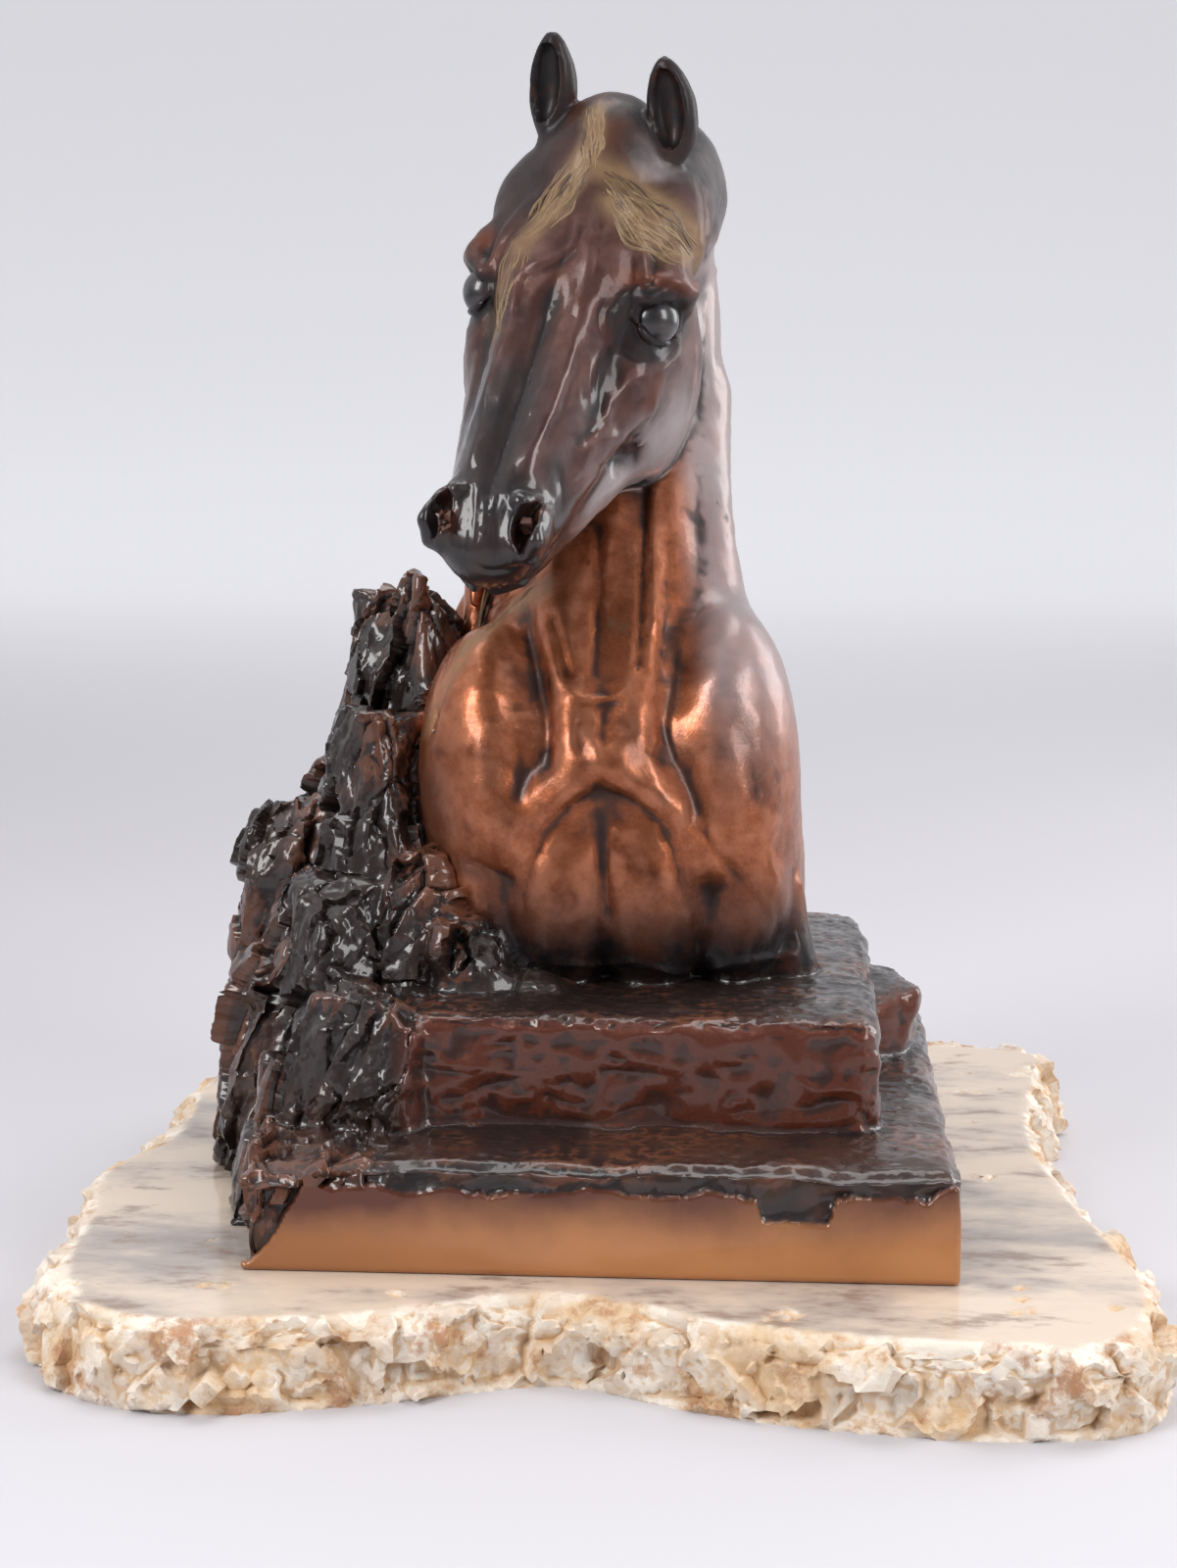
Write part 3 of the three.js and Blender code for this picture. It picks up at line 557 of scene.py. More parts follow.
def cell_noise(points: np.ndarray, seed: int = 0) -> tuple[np.ndarray, np.ndarray, np.ndarray]:
    """Gives grains of about one across, each with a flat face that is tilted its own way.

    Args:
        points: The places to read, one row each.
        seed: A number for each pattern.

    Returns:
        The gap between the two nearest grain middles, a number from 0 to 1 for the nearest grain, and the
        height of its tilted face from about -1 to 1.
    """
    cell = np.floor(points).astype(np.int64)
    first = np.full(len(points), 9.0)
    second = np.full(len(points), 9.0)
    name = np.zeros(len(points))
    face = np.zeros(len(points))
    for step in np.ndindex(3, 3, 3):
        here = cell + np.array(step) - 1
        mixed = scrambled(here, seed)
        jitter = np.column_stack([(mixed * k >> 7) % 1009 / 1009 for k in (1103, 3571, 7919)])
        tilt = np.column_stack([(mixed * k >> 9) % 1013 / 506.5 - 1.0 for k in (2203, 4583, 6133)])
        away = points - here - jitter
        gap = np.sqrt(np.sum(away ** 2, axis=1))
        closer = gap < first
        second = np.where(closer, first, np.minimum(second, gap))
        name = np.where(closer, jitter[:, 0], name)
        face = np.where(closer, np.sum(away * tilt, axis=1), face)
        first = np.where(closer, gap, first)
    return second - first, name, face


# Meshes


def points_of(mesh: bpy.types.Mesh) -> np.ndarray:
    """Gives the mesh's vertices in metres, one row each."""
    flat = np.empty(len(mesh.vertices) * 3)
    mesh.vertices.foreach_get("co", flat)
    return flat.reshape(-1, 3)


def normals_of(mesh: bpy.types.Mesh) -> np.ndarray:
    """Gives the direction that each vertex faces."""
    flat = np.empty(len(mesh.vertices) * 3)
    mesh.vertex_normals.foreach_get("vector", flat)
    return flat.reshape(-1, 3)


def move_points(mesh: bpy.types.Mesh, points: np.ndarray) -> None:
    """Puts the mesh's vertices at the given places, in metres."""
    mesh.vertices.foreach_set("co", points.ravel())
    mesh.update()


def edges_of(mesh: bpy.types.Mesh) -> np.ndarray:
    """Gives the two vertex numbers of each edge."""
    flat = np.empty(len(mesh.edges) * 2, dtype=np.int64)
    mesh.edges.foreach_get("vertices", flat)
    return flat.reshape(-1, 2)


def evened(values: np.ndarray, edges: np.ndarray, rounds: int) -> np.ndarray:
    """Averages a value of each vertex with its neighbours' several times.

    Args:
        values: One row a vertex.
        edges: The two vertex numbers of each edge.
        rounds: How often.

    Returns:
        The averaged values.
    """
    count = np.maximum(np.bincount(edges.ravel(), minlength=len(values)), 1)
    for _ in range(rounds):
        total = np.zeros_like(values)
        for column in range(values.shape[1]):
            sums = np.bincount(edges[:, 0], values[edges[:, 1], column], len(values))
            sums += np.bincount(edges[:, 1], values[edges[:, 0], column], len(values))
            total[:, column] = sums
        values = 0.5 * values + 0.5 * total / count[:, None]
    return values


def hollows(points: np.ndarray, normals: np.ndarray, edges: np.ndarray, rounds: int) -> np.ndarray:
    """Gives how deep each vertex lies below its neighbours' average.

    Args:
        points: The vertices' places.
        normals: The directions that they face.
        edges: The two vertex numbers of each edge.
        rounds: How often the average is taken, which sets how wide it looks.

    Returns:
        One depth a vertex, below zero on ridges.
    """
    return np.sum((evened(points, edges, rounds) - points) * normals, axis=1)


def lengths_along(stops: np.ndarray) -> np.ndarray:
    """Gives how far each stop lies along its line from the first."""
    return np.r_[0.0, np.cumsum(np.linalg.norm(np.diff(stops, axis=0), axis=1))]


def with_modifier(obj: bpy.types.Object, kind: str, **settings: object) -> None:
    """Puts one modifier on an object and keeps its result as the object's mesh.

    Args:
        obj: The object to change.
        kind: The modifier's type.
        settings: The modifier's values.
    """
    modifier = obj.modifiers.new(kind.lower(), kind)
    for name, value in settings.items():
        setattr(modifier, name, value)
    graph = bpy.context.evaluated_depsgraph_get()
    worked = bpy.data.meshes.new_from_object(obj.evaluated_get(graph))
    old = obj.data
    obj.modifiers.clear()
    worked.name = old.name
    obj.data = worked
    bpy.data.meshes.remove(old)


def copied_solid(node: bpy.types.Object, name: str) -> bpy.types.Object:
    """Copies a node's mesh with its loose triangles joined.

    Args:
        node: The solid's object.
        name: The new piece's name.

    Returns:
        The new piece.
    """
    worked = bmesh.new()
    worked.from_mesh(node.data)
    bmesh.ops.remove_doubles(worked, verts=worked.verts, dist=WELD)
    mesh = bpy.data.meshes.new(name)
    worked.to_mesh(mesh)
    worked.free()
    return new_object(name, mesh)


def keep_masks(mesh: bpy.types.Mesh, name: str, columns: tuple[np.ndarray, ...]) -> None:
    """Stores up to three masks of the vertices as one colour attribute.

    Args:
        mesh: The mesh that gets them.
        name: The attribute's name.
        columns: The masks, each from 0 to 1.
    """
    colours = np.ones((len(mesh.vertices), 4), dtype=np.float32)
    for number, column in enumerate(columns):
        colours[:, number] = np.clip(column, 0.0, 1.0)
    attribute = mesh.attributes.new(name, "FLOAT_COLOR", "POINT")
    attribute.data.foreach_set("color", colours.ravel())


class Surface:
    """A mesh that lines are laid on."""

    def __init__(self, mesh: bpy.types.Mesh) -> None:
        """Reads the mesh.

        Args:
            mesh: A closed mesh in metres.
        """
        mesh.calc_loop_triangles()
        flat = np.empty(len(mesh.loop_triangles) * 3, dtype=np.int64)
        mesh.loop_triangles.foreach_get("vertices", flat)
        self.tree = BVHTree.FromPolygons(points_of(mesh).tolist(), flat.reshape(-1, 3).tolist())

    def seen(self, view: Viewpoint, path: Path, spacing: float = 4.0) -> list[np.ndarray]:
        """Lays a line that is given in the front view on the surface.

        Args:
            view: The front view.
            path: The line's stops in the frame.
            spacing: The pixels between the points that are laid.

        Returns:
            The line's points in metres.
        """
        laid = []
        for (x0, y0), (x1, y1) in zip(path, path[1:]):
            steps = max(1, round(math.hypot(x1 - x0, y1 - y0) / spacing))
            for number in range(steps + 1):
                t = number / steps
                hit = self.tree.ray_cast(Vector(view.place), view.ray(x0 + (x1 - x0) * t, y0 + (y1 - y0) * t))
                if hit[0] is not None and (not laid or np.linalg.norm(laid[-1] - np.array(hit[0])) > 1e-5):
                    laid.append(np.array(hit[0]))
        return laid

    def nearest(self, point: np.ndarray) -> tuple[np.ndarray, np.ndarray]:
        """Gives the surface's nearest place to a point in metres, and the direction it faces."""
        place, facing, _, _ = self.tree.find_nearest(Vector(point))
        return np.array(place), np.array(facing)


def near_line(points: np.ndarray, line: list[np.ndarray], reach: float) -> tuple[np.ndarray, np.ndarray]:
    """Finds the points near a line.

    Args:
        points: Places in metres, one row each.
        line: The line's points in metres. A leap of over LINE_LEAP breaks it.
        reach: How far to look, in metres.

    Returns:
        The numbers of the near points, and each one's distance in metres.
    """
    low = np.min(line, axis=0) - reach
    high = np.max(line, axis=0) + reach
    near = np.flatnonzero(np.all((points > low) & (points < high), axis=1))
    found = points[near]
    best = np.full(len(near), FAR)
    for start, end in zip(line, line[1:]):
        span = end - start
        if span @ span > LINE_LEAP ** 2:
            continue
        away = found - start
        along = np.clip(away @ span / max(span @ span, 1e-12), 0.0, 1.0)
        best = np.minimum(best, np.sqrt(np.sum((away - along[:, None] * span) ** 2, axis=1)))
    inside = best < reach
    return near[inside], best[inside]


@dataclass(frozen=True)
class Stroke:
    """A ridge or groove along a line of the front view: its height and half width in millimetres."""

    rise: float
    width: float
    path: Path


# Materials


class Graph:
    """A small helper that lays out a node tree from left to right."""

    def __init__(self, tree: bpy.types.NodeTree) -> None:
        """Keeps the tree to fill."""
        self.tree = tree
        self.column = 0

    def add(self, kind: str, inputs: Inputs | None = None, **settings: object) -> bpy.types.Node:
        """Adds one node.

        Args:
            kind: The node's type.
            inputs: A value or another node's output for each named or numbered socket.
            settings: The node's own properties.

        Returns:
            The node.
        """
        node = self.tree.nodes.new(kind)
        for name, value in settings.items():
            setattr(node, name, value)
        node.location = (self.column * 40, -(self.column % 7) * 120)
        self.column += 1
        self.feed(node, inputs or {})
        return node

    def feed(self, node: bpy.types.Node, inputs: Inputs) -> None:
        """Fills sockets of a node.

        Args:
            node: The node.
            inputs: A value or another node's output for each named or numbered socket.
        """
        for name, value in inputs.items():
            if isinstance(value, Socket):
                self.tree.links.new(value, node.inputs[name])
            else:
                node.inputs[name].default_value = value

    def math(self, operation: str, *values: object, clamp: bool = False) -> Socket:
        """Adds a sum of one to three values and gives its result."""
        node = self.add("ShaderNodeMath", dict(enumerate(values)), operation=operation, use_clamp=clamp)
        return node.outputs[0]

    def times(self, first: object, second: object, clamp: bool = False) -> Socket:
        """Multiplies two values and gives the result."""
        return self.math("MULTIPLY", first, second, clamp=clamp)

    def plus(self, first: object, second: object, clamp: bool = False) -> Socket:
        """Adds two values and gives the result."""
        return self.math("ADD", first, second, clamp=clamp)

    def minus(self, first: object, second: object) -> Socket:
        """Takes the second value from the first and gives the result."""
        return self.math("SUBTRACT", first, second)

    def mix(self, share: object, first: object, second: object) -> Socket:
        """Mixes two colours and gives the result."""
        inputs = {"Factor": share, 6: first, 7: second}
        return self.add("ShaderNodeMix", inputs, data_type="RGBA", clamp_factor=True).outputs[2]

    def blend(self, share: object, first: object, second: object) -> Socket:
        """Mixes two numbers and gives the result."""
        inputs = {"Factor": share, 2: first, 3: second}
        return self.add("ShaderNodeMix", inputs, data_type="FLOAT", clamp_factor=True).outputs[0]

    def step(self, value: object, low: float, high: float) -> Socket:
        """Goes softly from 0 at low to 1 at high."""
        inputs = {"Value": value, "From Min": low, "From Max": high}
        return self.add("ShaderNodeMapRange", inputs, interpolation_type="SMOOTHSTEP").outputs["Result"]

    def noise(self, vector: object, scale: object, detail: float = 4.0, rough: float = 0.55) -> Socket:
        """Adds unevenness of one size and gives its value."""
        inputs = {"Vector": vector, "Scale": scale, "Detail": detail, "Roughness": rough}
        return self.add("ShaderNodeTexNoise", inputs).outputs["Fac"]

    def bump(self, height: object, strength: float, distance: float) -> Socket:
        """Turns heights into the direction that the surface faces."""
        inputs = {"Height": height, "Strength": strength, "Distance": distance}
        return self.add("ShaderNodeBump", inputs).outputs["Normal"]

    def masks(self, name: str) -> tuple[Socket, ...]:
        """Reads three masks that a mesh keeps under one name."""
        colour = self.add("ShaderNodeAttribute", attribute_name=name).outputs["Color"]
        split = self.add("ShaderNodeSeparateColor", {"Color": colour})
        return tuple(split.outputs)


def effect_group(
    name: str, inputs: dict[str, tuple[str, object]], outputs: dict[str, str],
) -> bpy.types.NodeTree:
    """Starts a shader node group with named sockets.

    Args:
        name: The group's name.
        inputs: Each input's socket type and default.
        outputs: Each output's socket type.

    Returns:
        The group, with its input and output nodes inside.
    """
    group = bpy.data.node_groups.new(name, "ShaderNodeTree")
    for title, (kind, default) in inputs.items():
        socket = group.interface.new_socket(title, in_out="INPUT", socket_type=kind)
        if default is not None:
            socket.default_value = default
    for title, kind in outputs.items():
        group.interface.new_socket(title, in_out="OUTPUT", socket_type=kind)
    group.nodes.new("NodeGroupInput").name = "given"
    group.nodes.new("NodeGroupOutput").name = "result"
    return group


class Effects:
    """The shared effects: fine speckle, and mottling between two tones."""

    def __init__(self) -> None:
        """Builds both groups."""
        self.speckle = self._speckle()
        self.mottle = self._mottle()

    @staticmethod
    def _speckle() -> bpy.types.NodeTree:
        """Builds a fine grain as a value from 0 to 1 and a height."""
        sockets = {"Vector": ("NodeSocketVector", None), "Scale": ("NodeSocketFloat", 900.0)}
        results = {"Value": "NodeSocketFloat", "Height": "NodeSocketFloat"}
        group = effect_group("fine_speckle", sockets, results)
        graph = Graph(group)
        given, result = group.nodes["given"], group.nodes["result"]
        vector, scale = given.outputs["Vector"], given.outputs["Scale"]
        fine = graph.noise(vector, scale, 2.0)
        coarse = graph.noise(vector, graph.times(scale, 0.3), 3.0)
        total = graph.plus(graph.times(fine, 0.6), graph.times(coarse, 0.4))
        graph.feed(result, {"Value": graph.step(total, 0.34, 0.66), "Height": total})
        return group

    @staticmethod
    def _mottle() -> bpy.types.NodeTree:
        """Builds a soft, uneven passage between two tones."""
        sockets = {
            "Vector": ("NodeSocketVector", None),
            "Scale": ("NodeSocketFloat", 30.0),
            "First": ("NodeSocketColor", (0.5, 0.5, 0.5, 1.0)),
            "Second": ("NodeSocketColor", (0.2, 0.2, 0.2, 1.0)),
            "Share": ("NodeSocketFloat", 0.5),
        }
        group = effect_group("soft_mottle", sockets, {"Color": "NodeSocketColor"})
        graph = Graph(group)
        given, result = group.nodes["given"], group.nodes["result"]
        uneven = graph.noise(given.outputs["Vector"], given.outputs["Scale"], 6.0, 0.6)
        shifted = graph.plus(uneven, graph.minus(given.outputs["Share"], 0.5))
        mask = graph.step(shifted, 0.38, 0.62)
        graph.feed(result, {"Color": graph.mix(mask, given.outputs["First"], given.outputs["Second"])})
        return group

    @staticmethod
    def place(graph: Graph, group: bpy.types.NodeTree, inputs: Inputs) -> bpy.types.Node:
        """Places a group in a material's layout, with a value or an output for its sockets."""
        return graph.add("ShaderNodeGroup", inputs, node_tree=group)


def tone(red: float, green: float, blue: float) -> tuple[float, float, float, float]:
    """Gives an opaque colour."""
    return (red, green, blue, 1.0)


def new_material(name: str) -> tuple[bpy.types.Material, Graph, bpy.types.Node, Socket]:
    """Starts a material.

    Args:
        name: Its name.

    Returns:
        The material, its layout, its shader node and the places of its points.
    """
    material = bpy.data.materials.new(name)
    material.use_nodes = True
    graph = Graph(material.node_tree)
    place = graph.add("ShaderNodeTexCoord").outputs["Object"]
    return material, graph, graph.tree.nodes["Principled BSDF"], place


@dataclass(frozen=True)
class BronzePatinaAndPaintedLight:
    """The casting's finish: copper skin, red-brown face, black points, ochre hair and black rock, with
    painted shade, highlights and sheen.
    """

    copper: tuple[float, ...] = tone(0.33, 0.098, 0.038)
    copper_deep: tuple[float, ...] = tone(0.12, 0.03, 0.011)
    # Rubbed wear and painted highlight: the light tones that broad ridges get
    copper_rubbed_highlight: tuple[float, ...] = tone(0.62, 0.25, 0.14)
    face: tuple[float, ...] = tone(0.056, 0.021, 0.016)
    face_rubbed_highlight: tuple[float, ...] = tone(0.17, 0.09, 0.08)
    # Painted sheen: grey that stands for the white room's reflection on the neck's flank and the cheek
    grey: tuple[float, ...] = tone(0.3, 0.25, 0.25)
    black: tuple[float, ...] = tone(0.012, 0.009, 0.01)
    ochre: tuple[float, ...] = tone(0.23, 0.14, 0.07)
    rock: tuple[float, ...] = tone(0.02, 0.011, 0.009)
    rock_worn: tuple[float, ...] = tone(0.12, 0.042, 0.021)
    riser: tuple[float, ...] = tone(0.105, 0.024, 0.01)
    amber: tuple[float, ...] = tone(0.52, 0.22, 0.078)
    amber_deep: tuple[float, ...] = tone(0.1, 0.024, 0.009)
    coat_roughness: float = 0.12

    def material(self, effects: Effects) -> bpy.types.Material:
        """Builds the finish, which reads the masks that the casting keeps.

        Args:
            effects: The shared effects.

        Returns:
            The material.
        """
        material, graph, shader, place = new_material("bronze_patina_painted_light")
        dark, gold, face = graph.masks("patina_and_shade")
        cavity, rock, amber = graph.masks("form")
        riser, pale, warm = graph.masks("accent")
        painted_sheen, inner, smoke = graph.masks("painted_sheen")
        speckle = effects.place(graph, effects.speckle, {"Vector": place, "Scale": 900.0})
        copper = effects.place(graph, effects.mottle, {
            "Vector": place, "Scale": 42.0, "First": self.copper, "Second": self.copper_deep, "Share": 0.4,
        }).outputs["Color"]
        grainy = graph.mix(graph.times(speckle.outputs["Value"], 0.4), copper, self.copper_deep)
        faint = graph.times(graph.noise(place, 55.0, 5.0), 0.5)
        faced = graph.times(face, graph.plus(0.7, faint), clamp=True)
        faced = graph.mix(faced, grainy, self.face)
        # Lighter copper on broad ridges: partly rubbed wear, partly a painted highlight
        broad, _, _ = graph.masks("wear_and_highlight")
        spots = graph.step(graph.noise(place, 120.0, 4.0), 0.3, 0.7)
        rubbed_and_highlit = graph.times(graph.step(broad, 0.47, 0.2), spots)
        bare_and_highlight = graph.mix(face, self.copper_rubbed_highlight, self.face_rubbed_highlight)
        shone = graph.mix(graph.times(rubbed_and_highlit, 0.45), faced, bare_and_highlight)
        # Painted sheen: a cloudy grey over the neck's flank and the cheek, standing for a reflection
        cloudy = graph.plus(0.45, graph.times(graph.noise(place, 34.0, 6.0, 0.65), 0.9))
        sheened = graph.mix(graph.times(painted_sheen, cloudy, clamp=True), shone, self.grey)
        rusty = graph.mix(graph.times(warm, 0.8), sheened, self.copper_deep)
        blotch = graph.noise(place, 60.0, 5.0, 0.6)
        uneven_dark = graph.times(dark, graph.plus(0.5, blotch), clamp=True)
        darkened = graph.mix(uneven_dark, rusty, self.black)
        glow = graph.times(inner, graph.step(graph.noise(place, 90.0, 4.0), 0.5, 0.7))
        reddish = graph.times(graph.math("MAXIMUM", warm, glow), 0.6)
        warmed = graph.mix(reddish, darkened, self.copper_deep)
        streaky = graph.plus(0.55, graph.times(graph.noise(place, 150.0, 3.0), 0.8))
        hair = graph.mix(graph.times(gold, streaky, clamp=True), warmed, self.ochre)
        patches = graph.step(graph.noise(place, 26.0, 5.0), 0.46, 0.6)
        worn = graph.times(graph.step(cavity, 0.54, 0.36), patches)
        broken = graph.times(graph.step(graph.noise(place, 12.0, 4.0), 0.48, 0.64), 0.4)
        rusted = graph.plus(graph.times(worn, 0.8), broken, clamp=True)
        stone = graph.mix(rusted, self.rock, self.rock_worn)
        held = graph.plus(0.35, graph.times(graph.step(cavity, 0.7, 0.5), 0.65))
        stone = graph.mix(graph.times(riser, held), stone, self.riser)
        surface = graph.mix(rock, hair, stone)
        spot = graph.add("ShaderNodeSeparateXYZ", {"Vector": place})
        uneven = graph.times(graph.minus(graph.noise(place, 16.0, 6.0), 0.5), 0.04)
        level = graph.plus(spot.outputs["Z"], uneven)
        redder = graph.times(graph.step(spot.outputs["X"], 0.04, -0.13), 0.42)
        deeper = graph.plus(graph.step(level, 0.038, 0.066), redder, clamp=True)
        ambered = graph.mix(deeper, self.amber, self.amber_deep)
        surface = graph.mix(amber, surface, ambered)
        flat = graph.math("MAXIMUM", graph.times(amber, 0.6), graph.times(riser, 0.3))
        crease = graph.times(graph.step(cavity, 0.58, 0.95), graph.minus(0.6, flat))
        surface = graph.mix(crease, surface, self.black)
        verdigris = graph.mix(graph.times(pale, 0.6), surface, tone(0.17, 0.2, 0.13))
        metal = graph.blend(painted_sheen, graph.blend(dark, graph.blend(face, 0.75, 0.5), 0.3), 0.25)
        metal = graph.blend(rock, metal, graph.blend(riser, 0.2, 0.35))
        metal = graph.blend(amber, metal, 0.3)
        metal = graph.blend(gold, metal, 0.25)
        rough = graph.blend(rock, graph.blend(face, 0.36, 0.48), 0.42)
        rough = graph.blend(gold, rough, 0.55)
        grain = graph.times(graph.minus(speckle.outputs["Height"], 0.5), 0.3)
        film = graph.blend(smoke, graph.blend(dark, 0.22, 0.08), 0.7)
        coat = graph.blend(gold, graph.blend(rock, film, 0.75), 0.1)
        coarser = graph.plus(0.35, graph.times(rock, 1.2))
        brushed = graph.times(graph.noise(place, 240.0, 4.0, 0.6), coarser)
        relief = graph.plus(graph.times(speckle.outputs["Height"], 0.35), brushed)
        smoother = graph.minus(1.0, graph.times(amber, 0.8))
        graph.feed(shader, {
            "Base Color": verdigris, "Metallic": metal, "Roughness": graph.plus(rough, grain),
            "Coat Weight": coat, "Coat Roughness": self.coat_roughness, "Coat IOR": 1.5,
            "Specular IOR Level": 0.35, "Normal": graph.bump(graph.times(relief, smoother), 0.4, 0.0007),
        })
        return material


@dataclass(frozen=True)
class CastHair:
    """The finish of the forelock's and mane's strands: ochre on top, brown between."""

    ochre: tuple[float, ...] = tone(0.27, 0.17, 0.085)
    brown: tuple[float, ...] = tone(0.06, 0.03, 0.018)

    def material(self, effects: Effects) -> bpy.types.Material:
        """Builds the finish.

        Args:
            effects: The shared effects.

        Returns:
            The material.
        """
        material, graph, shader, place = new_material("ochre_hair")
        shade, _, _ = graph.masks("shade")
        speckle = effects.place(graph, effects.speckle, {"Vector": place, "Scale": 800.0})
        mottled = effects.place(graph, effects.mottle, {
            "Vector": place, "Scale": 90.0, "First": self.ochre, "Second": self.brown, "Share": 0.33,
        }).outputs["Color"]
        toned = graph.mix(shade, mottled, self.brown)
        grainy = graph.mix(graph.times(speckle.outputs["Value"], 0.25), toned, self.brown)
        graph.feed(shader, {
            "Base Color": grainy, "Metallic": 0.3, "Roughness": 0.5, "Coat Weight": 0.2,
            "Coat Roughness": 0.15, "Normal": graph.bump(speckle.outputs["Height"], 0.2, 0.0004),
        })
        return material


@dataclass(frozen=True)
class EyeGloss:
    """The eyes' finish: black bronze under a thick glossy lacquer."""

    black: tuple[float, ...] = tone(0.012, 0.011, 0.013)
    brown: tuple[float, ...] = tone(0.05, 0.03, 0.025)

    def material(self, effects: Effects) -> bpy.types.Material:
        """Builds the finish.

        Args:
            effects: The shared effects.

        Returns:
            The material.
        """
        material, graph, shader, place = new_material("eye_gloss")
        mottled = effects.place(graph, effects.mottle, {
            "Vector": place, "Scale": 160.0, "First": self.black, "Second": self.brown, "Share": 0.4,
        }).outputs["Color"]
        speckle = effects.place(graph, effects.speckle, {"Vector": place, "Scale": 500.0})
        rough = graph.plus(0.3, graph.times(speckle.outputs["Value"], 0.1))
        graph.feed(shader, {
            "Base Color": mottled, "Roughness": rough, "Coat Weight": 0.6, "Coat Roughness": 0.09,
        })
        return material


@dataclass(frozen=True)
class SlabStone:
    """The slab's finish: a polished cream top with grey-brown clouds, and rough crystalline breaks."""

    cream: tuple[float, ...] = tone(0.66, 0.54, 0.43)
    grey: tuple[float, ...] = tone(0.36, 0.31, 0.28)
    brown: tuple[float, ...] = tone(0.26, 0.17, 0.12)
    white: tuple[float, ...] = tone(0.8, 0.72, 0.62)
    tan: tuple[float, ...] = tone(0.62, 0.4, 0.2)
    rust: tuple[float, ...] = tone(0.38, 0.15, 0.06)

    def material(self, effects: Effects) -> bpy.types.Material:
        """Builds the finish, which reads the mask of breaks that the slab keeps.

        Args:
            effects: The shared effects.

        Returns:
            The material.
        """
        material, graph, shader, place = new_material("slab_stone")
        broken, cavity, _ = graph.masks("breaks")
        stretched = graph.add("ShaderNodeMapping", {
            "Vector": place, "Rotation": (0.0, 0.0, 0.6), "Scale": (1.0, 2.2, 1.0),
        }).outputs[0]
        clouds = effects.place(graph, effects.mottle, {
            "Vector": stretched, "Scale": 12.0, "First": self.cream, "Second": self.grey, "Share": 0.47,
        }).outputs["Color"]
        streaks = graph.step(graph.noise(stretched, 24.0, 8.0, 0.68), 0.53, 0.66)
        polished = graph.mix(graph.times(streaks, 0.75), clouds, self.brown)
        crystals = graph.add("ShaderNodeTexVoronoi", {"Vector": place, "Scale": 130.0}).outputs["Color"]
        crystal = graph.add("ShaderNodeSeparateColor", {"Color": crystals}).outputs["Red"]
        sheet = graph.mix(graph.step(crystal, 0.35, 0.9), self.white, self.cream)
        clouded = graph.step(graph.noise(place, 30.0, 7.0, 0.65), 0.44, 0.6)
        tanned = graph.mix(graph.times(clouded, 0.75), sheet, self.tan)
        stained = graph.step(graph.noise(place, 60.0, 8.0, 0.7), 0.52, 0.66)
        rusted = graph.mix(graph.times(stained, 0.75), tanned, self.rust)
        creased = graph.mix(graph.times(graph.step(cavity, 0.52, 0.78), 0.65), rusted, self.tan)
        speckle = effects.place(graph, effects.speckle, {"Vector": place, "Scale": 420.0})
        height = graph.times(speckle.outputs["Height"], broken)
        graph.feed(shader, {
            "Base Color": graph.mix(broken, polished, creased), "Roughness": graph.blend(broken, 0.14, 0.6),
            "Normal": graph.bump(height, 0.6, 0.0015),
        })
        return material


# The bronze casting


